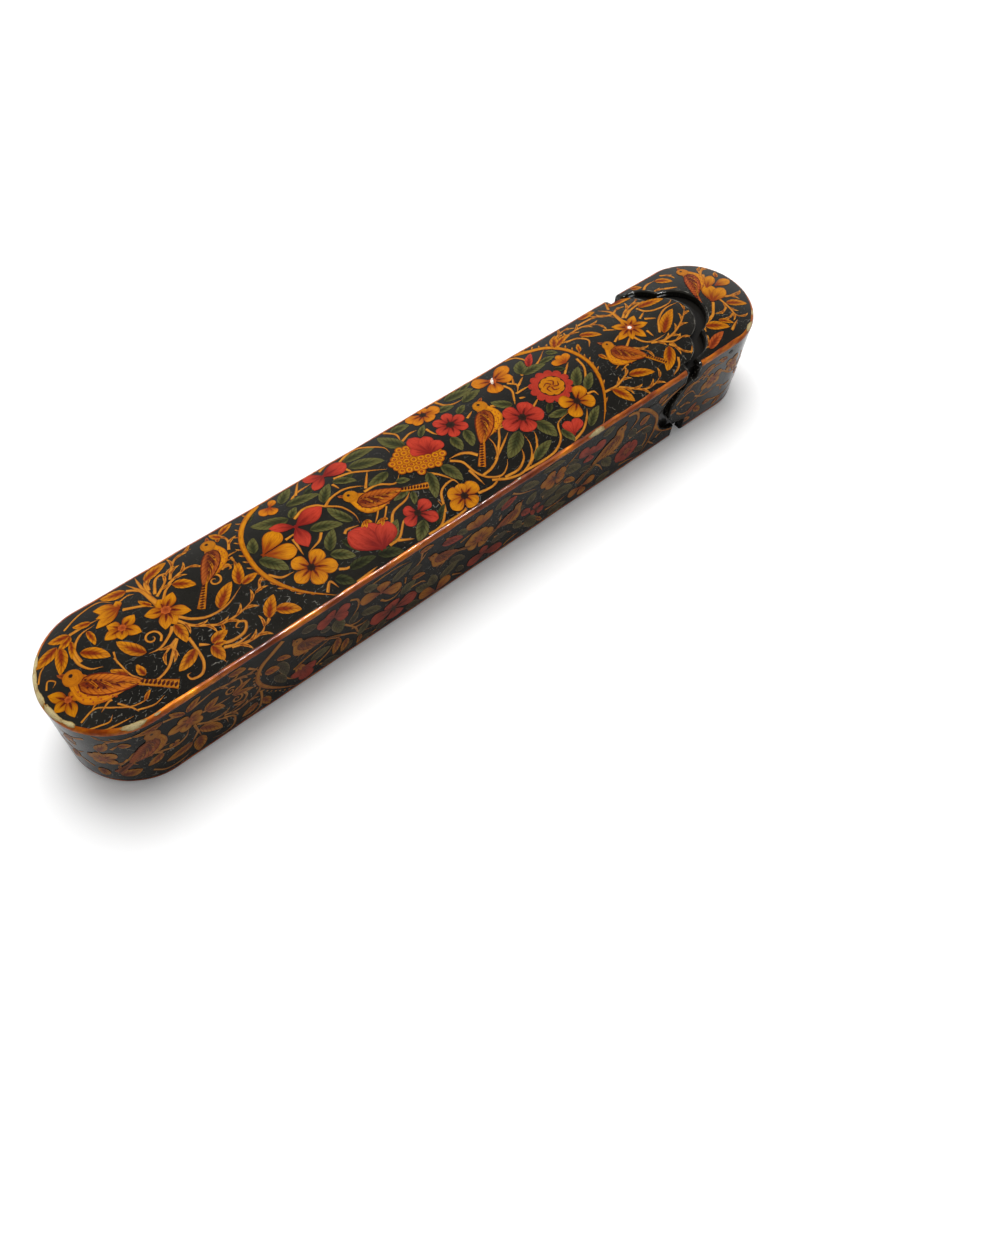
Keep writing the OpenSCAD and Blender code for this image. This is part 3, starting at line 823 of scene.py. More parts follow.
def bird(sheet, head_at, tail_at, belly, body=AMBER, wing=BROWN, tail=AMBER, layer=5, fat=1.0, beak=(-0.15, 0.02),
         shoulder=-0.075, leg=0.35):
    """A bird between two points; belly is 1 where the breast lies to the left of the way to the tail."""
    first, last = np.array(head_at, float), np.array(tail_at, float)
    ahead = last - first
    size = float(np.hypot(*ahead))
    aside = -belly * np.array([-ahead[1], ahead[0]])

    def at(p, q):
        return first + np.multiply.outer(p, ahead) + np.multiply.outer(q, aside)

    for k in (0.33, 0.43):
        stem(sheet, [at(k, -0.22 * fat), at(k - 0.03, (0.1 - leg) * fat), at(k - 0.07, -leg * fat)], STEM,
             size * 0.026, 0.7, 2)
    leaf(sheet, at(-0.05, 0.0), at(*beak), size * 0.055, BROWN, layer, 0.05, 0.3)
    tail_path = at(np.linspace(0.52, 1.0, TAIL_ROWS), np.linspace(-0.03 * fat, 0.0, TAIL_ROWS))
    tail_share = np.array([[0.8, 0.1, 0.7, 0.1, 0.8]]) + np.zeros((TAIL_ROWS, 1))
    tail_grid = ribbon(tail_path, size * np.linspace(0.022, 0.050, TAIL_ROWS), tail_share.shape[1])
    sheet.stroke(tail_grid, tone_mix(tail_share, tail), layer, (size * 0.5, 0.6))
    for p in np.linspace(0.66, 0.97, TAIL_ROWS):
        leaf(sheet, at(p, -0.034), at(p + 0.014, 0.026), size * 0.028, (HEART_RAY, HEART_RAY), layer + 1, 0.0)
    p = np.linspace(BIRD_ALONG[0], BIRD_ALONG[-1], BODY_ROWS)
    back_q = np.interp(p, BIRD_ALONG, BIRD_BACK) * min(1, fat)
    breast_q = np.interp(p, BIRD_ALONG, BIRD_BREAST) * fat
    v = np.linspace(0, 1, BODY_COLUMNS)[None]
    q = back_q[:, None] * (1 - v) + breast_q[:, None] * v
    grid = first + p[:, None, None] * ahead + q[..., None] * aside
    collar = 0.45 * np.exp(-((p[:, None] - 0.09) / 0.025) ** 2) * (v < 0.7)
    share = 0.5 * np.clip(1 - 4 * v, 0, 1) + 0.7 * (v > 0.95) + collar
    share = share + 0.6 * np.clip(p[:, None] * 3 - 1.2, 0, 1) * (1 - v)
    sheet.stroke(grid, tone_mix(share, body), layer, (size * 0.7, size * 0.14))
    disc(sheet, at(0.012, -0.012), size * 0.097, (body[0], wing[1]), layer + 1, rim_dark=0.5)
    for k in range(12):
        disc(sheet, at(0.10 + 0.033 * k, (-0.20 - 0.028 * (k % 3)) * fat * math.sin(0.9 + 0.13 * k)), size * 0.011,
             RUST, layer + 1)
    leaf(sheet, at(0.075, shoulder * fat), at(0.67, 0.0), size * (0.215 * fat + 0.034), (wing[1], HEART_RAY),
         layer + WING_EDGE, 0.08 * belly, 0.36)
    leaf(sheet, at(0.09, shoulder * fat), at(0.65, 0.0), size * 0.215 * fat, wing,
         layer + WING_TOP, 0.08 * belly, 0.36)
    drop = 0.8 * (shoulder + 0.075) * fat
    for k in range(7):
        fade = drop * (1 - k / 7)
        leaf(sheet, at(0.15 + 0.055 * k, (-0.03 - 0.004 * k) * fat + fade),
             at(0.31 + 0.06 * k, (-0.145 + 0.02 * k) * fat + fade),
             size * 0.026, (HEART_RAY, wing[1]) if k % 2 else (body[0], wing[1]), layer + WING_MARKS, 0.15)
    for row in range(3):
        for k in range(4):
            disc(sheet, at(0.14 + 0.05 * k + 0.02 * row, (-0.03 - 0.04 * row) * fat + drop), size * 0.012,
                 (HEART_RAY, HEART_RAY), layer + WING_MARKS)
    disc(sheet, at(-0.012, 0.01), size * 0.021, DARK, layer + 2)


print("bird ready")

# %% [markdown]
# ## The drawing of the top
# At each end of the top, gold birds sit among golden lilies and leafy scrolls. Between them a long medallion with a
# gold rim holds the coloured flowers. Places are in millimetres along and across the box.

# %% Left end of the top: stems
top = Painting(lay_top, keep_sleeve)
stems(top, [
    [(-109.5, -9), (-105.5, -8.3), (-102.5, -10.5), (-99, -13), (-95.5, -13.5), (-94.7, -12.5)],
    [(-110.2, -11.2), (-107, -12.3), (-104.7, -13), (-103.2, -12)], [(-101, -10.5), (-99, -13.5), (-98.5, -15)],
    [(-108, -13.6), (-104, -14.6), (-100, -15.2)], [(-98.5, -14.5), (-95, -15.6), (-92, -15)],
    [(-100, 15), (-95, 17), (-90, 17.3), (-87.5, 14.5)], [(-86.5, 13.8), (-84, 14.2), (-82.5, 13.5)],
    [(-95.5, 0), (-95, -6), (-93, -10)], [(-94.7, 1.5), (-95.8, -2)],
    [(-111, 3.2), (-109.6, 5), (-108.4, 3.6), (-109.6, 2.6)], [(-111.5, 6), (-109.5, 8.5), (-107.5, 9.5)],
    [(-77, -13), (-76.6, -16.5)],
], 0.45, 0.7)
stems(top, [
    [(-101.5, 4), (-101, 8), (-98, 11), (-94, 11.5)], [(-102, 7), (-102.2, 4), (-101, 1), (-98.5, -0.5)],
    [(-99.8, 12.8), (-96, 12.8), (-92.5, 12.4)], [(-87, 11), (-83, 8.8), (-81, 6.5)],
    [(-82, -4.5), (-85, -7.5), (-88, -10), (-92, -10.5), (-95, -6)],
    [(-81, -1), (-82.5, -2.5), (-86, -4.3), (-89, -4)], [(-83.5, 15.8), (-82, 14.6), (-80.8, 12.5)],
    [(-79, 10), (-77, 13.5), (-75.5, 14.5), (-73.8, 14), (-74, 13)], [(-80, 10.5), (-79.4, 14), (-78.8, 15.5)],
    [(-78.5, 7), (-76.5, 9.2), (-74.5, 10)], [(-67, 6), (-64, 6.5), (-60, 8.3), (-57, 8.3)],
    [(-64, 6), (-61.5, 6.2), (-61.3, 4.8), (-62, 4.6)],
    [(-78.5, 0.5), (-76.5, -2), (-73, -4), (-68, -4), (-62.5, -1.5)],
    [(-79.8, -6), (-80, -9), (-80.5, -13), (-82.5, -15.5), (-85, -15.3), (-85.3, -14), (-84.3, -13.8)],
    [(-79, -9), (-77, -10.5)], [(-75, -13), (-72, -14), (-68, -13.7)],
    [(-75.5, -11.5), (-72.5, -12.7), (-69, -12.5), (-67.3, -10.5), (-68.5, -9.5), (-69.8, -10.2), (-69.2, -11)],
    [(-62.5, -13), (-64, -14)], [(-60, -12), (-62.5, -12.6)],
], 0.85, 0.55)
stem(top, [(-80, 4.5), (-80.3, 9), (-80.8, 13), (-82.5, 17.6)], STEM, 1.7, 0.45)
stem(top, [(-80.4, 11), (-80.2, 15), (-79.8, 18.3)], STEM, 1.0, 0.6)
twigs(top, [
    [(-79.2, -0.5), (-77.5, -3.5), (-74.5, -6), (-72, -7.5), (-68.5, -7.8), (-64, -7), (-60.5, -5)],
    [(-75, 10.5), (-70, 12), (-67, 11.5)], [(-79, 9), (-75.5, 11.5), (-74, 13.5)],
    [(-74, 11.5), (-71.5, 15), (-69, 17), (-65, 17)], [(-82, -4.5), (-84, -5.3), (-87.5, -7)],
    [(-73.5, -14), (-70, -15), (-66, -15), (-64, -13.5)], [(-59.5, 7.6), (-59.6, 5.6)],
    [(-59.8, -5.4), (-58.3, -2.6)], [(-84, -5), (-84, -8.8)], [(-79.4, 12), (-78.2, 16)],
    [(-58.5, 10), (-57, 13), (-57.4, 16)],
])
for middle, radius, turn, hand in [((-86.2, -0.8), 2.3, 5.2, 1), ((-66.3, 4), 2.0, 2.0, -1)]:
    curl(top, middle, radius, STEM, turn, hand)
print("stems of the left end drawn")

# %% Left end of the top: leaves, lilies and birds
leaves(top, [
    (-103.5, 11.8, -110.5, 10.3, 3.2), (-103.2, 11, -106.7, 4.3, 3.0), (-99.8, 12.8, -104.5, 14.4, 2.6),
    (-99.8, 12.4, -103.8, 10.6, 2.2), (-100.5, 11, -102.7, 6.2, 1.6), (-94.3, 12.8, -98.2, 14.4, 2.0),
    (-96.3, 11, -96.8, 6, 1.7), (-100.5, 6.5, -95.8, 0.8, 3.2), (-95.2, -5.8, -97.8, -2.3, 2.0),
    (-92.5, -8.3, -92.5, -4.8, 1.9), (-89.2, -3.5, -92.8, 3.6, 3.2), (-83.5, 15.8, -89.3, 18, 3.0),
    (-78.8, 15.5, -71.8, 17.3, 2.9), (-81.3, 7.5, -83, 11, 1.4), (-74.5, 9.8, -70.3, 5.8, 2.9),
    (-62.5, -1, -59, 4.8, 2.9), (-62, -1.3, -57.5, -0.8, 2.2), (-70, -3.8, -63.5, 1, 3.2),
    (-62.5, -13, -58, -8.3, 3.0), (-60, -12, -55, -15.5, 3.0), (-80.3, -0.8, -80.8, -6.8, 2.8),
    (-80.2, -9.3, -86.3, -12, 2.9), (-76.5, -10.5, -71.8, -9.8, 2.6), (-77, -11, -76.7, -15.7, 2.9),
    (-76.4, -11.2, -73.6, -12.2, 1.6), (-57.5, 16, -53, 17.6, 2.0), (-57.6, 15, -59.4, 18, 1.8),
    (-72, -7.6, -72.6, -9.6, 0.9), (-59.2, 14.2, -57.2, 16.4, 1.3), (-96, -13.6, -93.6, -12, 0.9),
], AMBER)
petals(top, (-108.6, -2.4), [(-111.5, 1.8), (-112.6, -2.8), (-109.8, -7), (-106.2, -2.4)], 2.9, GOLD, 3, 0.5, RUST,
       0.7, 0)
petals(top, (-79.6, 4), [(-75.6, 7.6), (-75.2, 0), (-84.3, 5.8), (-82.6, -0.9), (-79.9, -1.2), (-79.4, 8)], 3.2, GOLD,
       4, 0.52, RUST, 1.0, 0)
petals(top, (-89.8, 6.2), [(-92.2, 9.2), (-85.7, 7.8), (-87, 2.2), (-94.6, 5.7), (-91.6, 3.2)], 3.1, GOLD, 4, 0.52,
       RUST, 0.8, 0)
petals(top, (-87.2, 12.1), [(-92.3, 15.6, 3.4), (-94.4, 10.1, 3.2), (-93, 12.8, 2.4), (-86.8, 14.6, 2)], 3, GOLD, 3,
       0.5, None)
bird(top, (-105.1, 2), (-88, -14.6), -1, ORANGE, FEATHER, GOLD)
bird(top, (-61.6, 15), (-73.3, -1.2), 1, AMBER, BROWN, AMBER, 5, 0.95)
print("left end drawn with", top.strokes, "strokes")

# %% Medallion: rim and stems
LEFT_RIM = [(-45, 18.5), (-50, 16), (-53.5, 12.5), (-55.5, 8.5), (-56.5, 4), (-56.8, -0.5), (-55.8, -5.5),
            (-53.5, -10), (-50.5, -13.5), (-46, -17.5)]
RIGHT_RIM = [(41, 18.3), (45, 16.5), (49, 14.5), (51.5, 12), (53.5, 8.5), (54.4, 4), (54.3, 0), (53, -4.5),
             (50.5, -9.5), (46.5, -14.5), (42.5, -18.3)]
for rim, out in ((LEFT_RIM, -1), (RIGHT_RIM, 1)):
    path = stem(top, rim, GOLD, 1.4, 0.8, 2)
    for k in range(4, len(path) - 3, 3):
        x, y = path[k] + np.array([0.5 * out, 0])
        leaf(top, (x, y), (x + out * (1.1 + 0.5 * math.sin(k)), y + 1.2), 0.42, STEM, 0, 0.1)
stems(top, [
    [(-41, 7.5), (-37.5, 8.8), (-34.5, 7.8), (-32.8, 5.8), (-30, 3), (-28.8, -1), (-29.3, -4)],
    [(-32.8, 5.8), (-30, 7.2), (-26, 7.5), (-23, 6.2), (-21.2, 4.8)], [(-21.5, 4), (-17.5, 8.8)],
    [(-25.5, 12.5), (-21, 11.3), (-17.5, 8.8), (-13.3, 5.8)], [(-21, 13.3), (-20.5, 11.3)], [(-27, 11), (-26.5, 8.5)],
    [(-46.5, 3.3), (-43.3, 3.5)], [(-45, 2.3), (-45.8, -3.3)], [(-38.5, -0.5), (-40.5, -2.3), (-44.5, -3.5)],
    [(-55.8, -3), (-53.8, -5.5), (-50.5, -6)], [(-37.5, 13.8), (-35, 15), (-30.5, 15.3)],
    [(-36, 14.3), (-32.5, 18.5)], [(-26.5, 17.5), (-23, 18.8)],
    [(-20.5, 16.8), (-17, 18.1), (-14, 17.9), (-11.5, 16), (-9, 13), (-9, 10.3)],
    [(-5.5, 18), (-3.5, 15), (-4.3, 11.5)], [(-4.5, 11.3), (-1, 12.5), (1.5, 12.3)],
    [(-22.5, 3.3), (-18.5, 3), (-14.8, 0.5), (-12, 2.3)], [(-34.3, -4.5), (-33, -3.8), (-30, -4.5)],
    [(-23, -9), (-20.5, -6.5), (-16, -5.5), (-13.5, -4)], [(-27.5, -14), (-24, -13.5), (-20.5, -10.5), (-18.5, -9.8)],
    [(-25, -14), (-21.3, -16)], [(-17.5, -17.2), (-13.5, -17), (-10, -14), (-9.5, -10.5)],
    [(-10, -14.5), (-7, -9), (-2.5, -7.8), (-1.8, -10.5)], [(-6.3, -2), (-4, -4.5), (-2, -8)],
    [(-13.5, -17.2), (-6, -17), (-5, -16.3)], [(-41.5, -12), (-39.5, -13), (-35.5, -12.8)],
    [(-47.5, -15.5), (-45.3, -13.5), (-44.5, -16)], [(-40, -17.4), (-33.5, -16.8)],
    [(3.5, 10.8), (3.8, 8.5), (4.3, 7)], [(12.3, 18), (13.3, 15.3), (15.5, 13.8), (18.5, 13.5)],
    [(18.5, 18), (20.5, 16.8)], [(14.3, 6.5), (17, 7.8)],
    [(1, -2.5), (3.3, -5), (3.8, -9), (5.5, -12.5), (9, -14.3), (12, -13), (13.5, -11.3)],
    [(5, -11.5), (8.5, -11), (12, -9), (13.8, -5.5), (14, -2)], [(11, -9.5), (15.5, -7), (19.5, -4.5)],
    [(12.5, -8.5), (16, -5), (18.5, -2), (22, -1)], [(9.5, -15.3), (14, -15.5), (17.5, -13.5), (18.8, -11)],
    [(0.5, -15), (5, -15.5), (9.5, -14)],
    [(6, -14), (10.5, -16.3), (15, -16.8), (19.5, -14.5), (21.8, -11), (22.3, -8)],
    [(17.5, -16), (22, -13.5), (24.5, -10.5), (25.3, -8.5)],
    [(15, -16.8), (21, -17.2), (26, -16.8), (30, -14.5), (32, -11), (34, -9.8), (37.5, -9.3)],
    [(32.5, -17.2), (37, -16), (40.5, -13.5), (42.5, -11.3)], [(3, -8), (3.5, -14)],
    [(30, 10), (30.5, 7), (28.5, 3.5), (27.5, 2)], [(31.5, 10), (33, 7.5), (31, 5)], [(33, 7), (36.5, 9)],
    [(30.5, 5), (35.5, 5)], [(30, 3), (31.5, 2.3)], [(30.5, -2), (34, -0.3)],
    [(37.5, 18.2), (40.5, 17), (41.8, 14), (41, 12.5)], [(36.5, 9.8), (43, 10.5), (48.5, 13.8)], [(46, 2), (50, 5)],
    [(52.8, 4.5), (52, 0.5), (49, -3.5), (47.5, -5.5)], [(46, -7.5), (48, -8), (48.3, -9.8)],
    [(32.5, 8.5), (34, 10.5)], [(22, 6), (24, 4.5), (26, 2.8)],
], 0.8, 0.6)
stem(top, [(8, -5.6), (6.6, -3.6), (4.4, -2.3), (1.3, -1.9)], STEM, 1.05, 0.7)
print("rim and stems of the medallion drawn")

# %% Medallion: leaves
leaves(top, [
    (-42, 8.5, -50.5, 13, 3.8), (-54.7, 4.7, -52, 9.3, 2.8), (-55, 2.3, -51, -4.8, 3.6),
    (-41.5, 8.3, -38.3, 10.7, 2.2), (-40, 12.8, -31.3, 10.4, 3.0), (-40.5, 14.3, -35.5, 17.8, 3.0),
    (-32.5, 7, -27.3, 11.8, 3.0), (-26.5, 11.8, -21.5, 7.8, 2.6), (-40.2, 2, -32.8, -1.8, 3.2),
    (-30.3, -2.5, -32.8, 5.2, 2.8), (-40.2, -6.5, -35.5, -1.5, 3.0), (-40.8, -7.3, -36, -11.5, 3.0),
    (-13.8, 5, -20.5, 4.3, 3.0), (-20, 16, -10.8, 14.8, 3.2), (-20.3, 13.3, -11.8, 8.8, 3.8),
    (-4.5, 9.5, -7.8, 17.5, 4.0), (-12.5, -2.3, -18.5, -3.8, 2.4), (-14.3, 0.8, -11, -1, 2.0),
    (-6, -1.8, -9.5, -9.8, 3.2), (-2, -2.3, -0.3, -9.5, 3.4), (-13, -4.3, -15, -8, 1.8),
    (-26.5, -13.5, -21.3, -9, 3.0), (-16, -13, -21, -17, 3.2), (0.5, 9.3, 4.3, 12.5, 2.0), (-4, 16.5, 1.5, 15.5, 3.0),
    (10, 14.3, 15, 13, 2.6), (13.5, 9.5, 17.3, 11.3, 2.2), (14.3, 16.5, 23.5, 15, 3.4), (17.5, 12.3, 24.5, 13.3, 3.0),
    (6.3, 3.8, 5.8, -1.8, 3.0), (10.8, 3.5, 8.8, -2.5, 3.0), (27, 2.3, 23, 7.2, 3.0), (22, -6, 13.8, -11.3, 4.2),
    (27.8, -6.3, 29.5, -13.5, 4.0), (19.5, -16, 27.5, -13.5, 2.8), (37.5, -8.3, 31.8, -7, 2.6),
    (31.8, -12.5, 32.8, -17.4, 2.6), (39.5, -16.3, 46, -12.5, 2.6), (45.3, -4, 51, 1.8, 3.2),
    (47, -6.5, 52.3, -2.3, 2.8), (36.8, 10, 40.8, 14.8, 3.6), (37, 9.8, 44.8, 8.8, 3.2), (44, 10, 49, 9.5, 2.0),
    (48, 12.5, 50.5, 10, 2.0), (20.5, 17, 24.5, 17.6, 2.0), (-46, 10, -47.6, 6.8, 1.6),
], GREEN, 1)
leaves(top, [
    (-36, -5.5, -34.5, -11, 2.0), (-31.5, -14.3, -25.5, -17.4, 3.0), (-44, -13.5, -40.5, -17.2, 2.8),
    (-39.5, -13.5, -32, -14.4, 2.6), (-50.5, 14.5, -47, 16.8, 1.6), (-34.5, 12.6, -30, 13.8, 2.0),
    (15.6, 2.6, 18.6, 6.0, 2.0), (35.5, -3.5, 32.4, -6, 2.0), (-14, -16.2, -8.6, -12.4, 1.8),
    (-24.5, 9.6, -20.4, 10.6, 1.6), (45, 5.4, 47.6, 3.2, 1.8),
], DEEP_GREEN, 1)
print("leaves of the medallion drawn")

# %% Medallion: flowers and birds
petals(top, (-46.5, -7.5), [(-49.2, -3, 4.2), (-41.7, -4.4, 4.2), (-40.9, -10.9, 4.4), (-46.8, -13, 4.4),
                            (-51.9, -9, 3.8)], 4, YELLOW, 3, 0.66, DARK, 0.9)
for tip in ((-46.4, 7.1), (-46.0, -1.1)):
    petal(top, (-53.6, 2.8), tip, 5.2, YELLOW, 3, 0.7, 1.2)
petals(top, (-42.3, 5.2), [(-33.4, 6.4, 5.2), (-47.6, 9.1, 3.0), (-43.5, -2.1, 4.2)], 3, RED, 3, 0.55, None, 0, 0)
petals(top, (-26.8, 15.2), [(-19.7, 15.2, 5.2), (-31.6, 17.8, 3.2), (-31.6, 12.4, 3.2)], 3, RED, 3, 0.58, None, 0, 0)
petals(top, (-43.2, 15.4), [(-46.5, 14.6, 3), (-40.9, 17.2, 2.2), (-43.5, 12.3, 3)], 2.4, ORANGE, 3, 0.62, None)
petals(top, (-29.3, -13.8), [(-33.4, -4.7, 7.2), (-23.6, -8.0, 5.6), (-28.4, -5.1, 5.6)], 5, RED, 3, 0.62, None, 0, 0)
for root, ends in (((-28, -4.4), [(-30, -5.6), (-29, -6.4), (-26.8, -5.9)]),
                   ((-24, -6.5), [(-26.4, -7), (-25.6, -8.3), (-23.2, -7.6)])):
    for end in ends:
        leaf(top, root, end, 0.9, YELLOW, 5)
petals(top, (-16, -10.5), [(-18.5, -7.6, 3.2), (-11.3, -8.9, 3.8), (-12.6, -14.9, 3.5), (-20.6, -11.9, 3.4)], 3.2,
       RED, 3, 0.68, DARK, 0.8, 0.1)
petals(top, (-3, -13.5), [(-6.2, -10.2, 4.2), (-8.2, -15.1, 3.8), (-2, -17.4, 4.6), (2, -12, 4.4), (-1.8, -9.8, 3.4)],
       4, YELLOW, 3, 0.66, DARK, 0.9)
scales(top, (-5.2, 3.8), (7.5, 4.9), -0.42, 1.2, YELLOW)
petals(top, (-1.4, 2.6), [(-4.6, 7.4, 4.2), (-2.4, 11, 4.4), (1.2, 8.8, 4.2), (3.5, 4.8, 4.0)], 3.2, RED, 7, 0.68,
       None)
petals(top, (6.5, 16), [(1.4, 17.1, 3.6), (2.4, 13.9, 3), (7.5, 12.4, 3.8), (11.7, 15.5, 4), (8, 18.6, 3.4)], 3.4,
       ORANGE, 3, 0.66, DARK, 0.8)
flower(top, (9.3, 7.6), 5.0, 6, RED, 0.15, DARK, 0.2, 0.68)
petals(top, (29.3, 13.6), [(24, 16.6, 4.6), (26.8, 8.8, 4.8), (36.5, 16, 4.2), (34.5, 10.9, 3.8)], 4, ORANGE, 3, 0.66,
       RUST, 0.9)
# A painted highlight: a white glint on the heart of the orange flower.
leaf(top, (28.4, 12.5), (30.1, 14.8), 0.8, PAINTED_GLINT, 6)
leaf(top, (40.5, 11), (45, 15.3), 2.2, RED, 3)
disc(top, (39.8, 0.9), 6.0, RED, 3, 13, 0.18, 0.3, 0.45)
disc(top, (40, 0.8), 3.9, DARK, 4)
disc(top, (40, 0.8), 3.5, YELLOW, 5, 9, 0.12, 0.0, 0.3)
for k in range(5):
    stem(top, [polar((40, 0.8), 1.26 * k, 0.5), polar((40, 0.8), 1.26 * k + 0.7, 1.8),
               polar((40, 0.8), 1.26 * k + 1.5, 2.6)], (RUST[1], HEART_RAY), 0.5, 0.7, 6)
petals(top, (49.3, 5.2), [(46.1, 7.9, 2.6), (52.1, 8.4, 2.6), (49.2, 9.3, 2.4)], 2.6, ORANGE, 3, 0.66, None)
petals(top, (41.8, -7.8), [(37.3, -4.9, 4.4), (46.4, -4.1, 4.4), (46.4, -10.6, 4.4), (37.6, -11.6, 4.4)], 4.4, YELLOW,
       3, 0.68, DARK, 0.9)
petals(top, (25.9, -2.9), [(23.2, 2.2, 4.8), (30.6, 0.6, 5), (32, -5, 5), (24.8, -8.2, 5.2), (19.3, -3, 5)], 4.8, RED,
       3, 0.66, DARK, 1.0)
for tip, width in (((34.4, -11), 3.2), ((38.4, -12.3), 3.4)):
    petal(top, (33.8, -15.9), tip, width, RED, 3, 0.72, 0.6)
bird(top, (-26.2, 4.6), (-8.4, -5.4), -1, YELLOW, WING, YELLOW, 5, 1.12, (-0.15, 0.02), -0.115, 0.43)
bird(top, (19.8, 8.2), (6.4, -9.2), 1, YELLOW, WING, ORANGE, 5, 1.0, (-0.15, -0.04), -0.06)
print("medallion drawn with", top.strokes, "strokes")

# %% Right end of the top
stems(top, [
    [(63.5, 15.3), (68.5, 15), (72, 13.5), (73.5, 10.5)], [(75, 14.5), (77, 18)],
    [(79, -3), (82.5, 1), (87.5, 3.3), (93, 2.8)], [(75.5, 8), (80, 9.8), (85, 10), (90, 9.5), (93, 7)],
    [(81, 9), (82, 6.5), (85, 4.8), (90, 4.3), (93, 6)], [(71.5, 0.5), (72.5, -2.5), (75, -4.3), (80, -4.5)],
    [(77, -13), (75, -15.5), (71.5, -17)], [(67, 8.5), (70, 6)], [(78.5, 5), (81.5, 6.3)], [(79.5, 4), (82.5, 2)],
    [(76.5, 0), (76.5, -3)], [(67.5, -1), (71.5, 1.5)], [(66, 2.5), (69, 4)], [(60, 10.3), (60.8, 8), (59, 5.8)],
    [(55.5, 12), (59, 11), (60.3, 9)], [(84.5, -12), (81, -14.4)],
], 0.8, 0.6)
stem(top, [(73.8, 6), (74, 9), (74.5, 13), (72.5, 16.5)], STEM, 1.5, 0.5)
twigs(top, [
    [(52, 12), (59, 14), (63.5, 14), (66.5, 12.5), (68, 11)], [(53, 13.6), (56, 16), (61, 17)],
    [(75, 8.5), (78, 10.5), (82, 11.5), (86, 12.5)], [(74, -4.5), (78, -6), (83, -5.5), (88.5, -3), (93, 0.5)],
    [(77, -6), (80, -8), (84.5, -8.3)], [(78, -8), (79.5, -11), (80, -13)],
    [(50.5, -10), (55, -10.3), (60, -8.8), (61.5, -8)], [(55, -11), (58, -13.5), (61, -15.8), (65, -16), (67.8, -15)],
    [(74, 12), (71, 13.6), (68, 17.4)], [(74.4, 12), (77.5, 13.4)], [(66, -1.6), (69, -3.2), (71, -6)],
])
leaves(top, [
    (51.5, 12.3, 55.5, 16.5, 2.6), (52.5, 12.5, 58.5, 14.3, 2.0), (65.5, 17.3, 71.5, 16.8, 2.6),
    (75.8, 15.8, 84.5, 14, 2.6), (81.8, 9, 90.3, 6.8, 2.8), (79.8, -4, 89, 1.8, 3.6), (77.5, -8.5, 70.8, -14.8, 3.6),
    (60.3, -9.5, 67.5, -13, 2.8), (60.3, 11.5, 65.3, 7.3, 2.4), (52.8, -10.5, 55.8, -17.2, 3.2),
    (58.6, 1.6, 59.4, -1.6, 1.4), (55.6, 6, 57.4, 9, 1.4),
], AMBER)
petals(top, (73.5, 4.1), [(69.7, 7.9), (78.1, 7.1), (79.1, 2.2), (74.6, -1.9, 3), (67.2, 2.2), (73.9, 8.5, 2.2),
                          (70.6, -0.2, 2.4)], 2.8, GOLD, 4, 0.5, RUST, 1.0, 0)
# A painted highlight: a small white glint on the heart of the gold flower.
disc(top, (73.4, 4.1), 0.62, PAINTED_GLINT, 6, 5, 0.2)
bird(top, (63.4, 2.9), (73, -12.6), -1, AMBER, WING, AMBER, 5, 1.34, (-0.17, 0.0))
top.build("painting_top", "sleeve", brushwork)

# %% Top of the head
head_top = Painting(lay_top, keep_head)
stems(head_top, [
    [(88.5, 13.5), (91.5, 15.3), (95, 15.3)], [(94, 10), (97.5, 8)], [(108.5, 7.5), (104, 3)],
    [(106.5, 7), (110, 9.5), (113, 9)], [(98, -15), (102.5, -13)],
    [(101, -3.8), (97, -7.5), (93.5, -8.5), (89.5, -8.8), (88.5, -10), (89.4, -11.6)],
    [(104.5, -3), (108, -4.5), (112.5, -4.3)],
], 0.95, 0.6)
twigs(head_top, [
    [(103.8, -3.5), (103.8, -7.5), (103.5, -11.5), (106, -13.5)], [(103, -7.5), (99.5, -9)],
    [(103, -10.5), (100, -11.5)], [(108, 8), (109.5, 11.3)], [(98, 16), (101, 13.5)], [(89.5, 11), (93.5, 11.5)],
    [(97, -7.5), (92, -8.8)], [(83.5, -15), (88, -14.3)], [(106, -4), (111, -5.4)], [(109, 9), (112.5, 11)],
])
leaves(head_top, [
    (94.8, 15, 98.5, 11, 2.6), (104.3, -6.3, 110.5, -9.8, 2.7), (91.8, -9.3, 98.3, -13.8, 3.2),
    (87, 17.4, 90, 15.5, 2.0), (97, -10, 100.4, -13.4, 1.6), (111, 4.2, 113, 6.4, 1.6),
], AMBER)
leaf(head_top, (87.3, -16.3), (95.3, -14), 2.7, RUST)
petals(head_top, (101, -3.4), [(105.6, 2.8, 5.2), (108.9, -1, 4.2)], 4, GOLD, 4, 0.6, None)
petal(head_top, (104, 2), (110.2, 5.5), 3.4, GOLD, 4, 0.6)
petal(head_top, (107.2, 1.3), (114, 1.3), 3.3, GOLD, 4, 0.62)
bird(head_top, (104.2, 12.6), (95.4, -4.8), 1, AMBER, RUST, RUST, 5, 1.0)
head_top.build("painting_head_top", "drawer", brushwork)
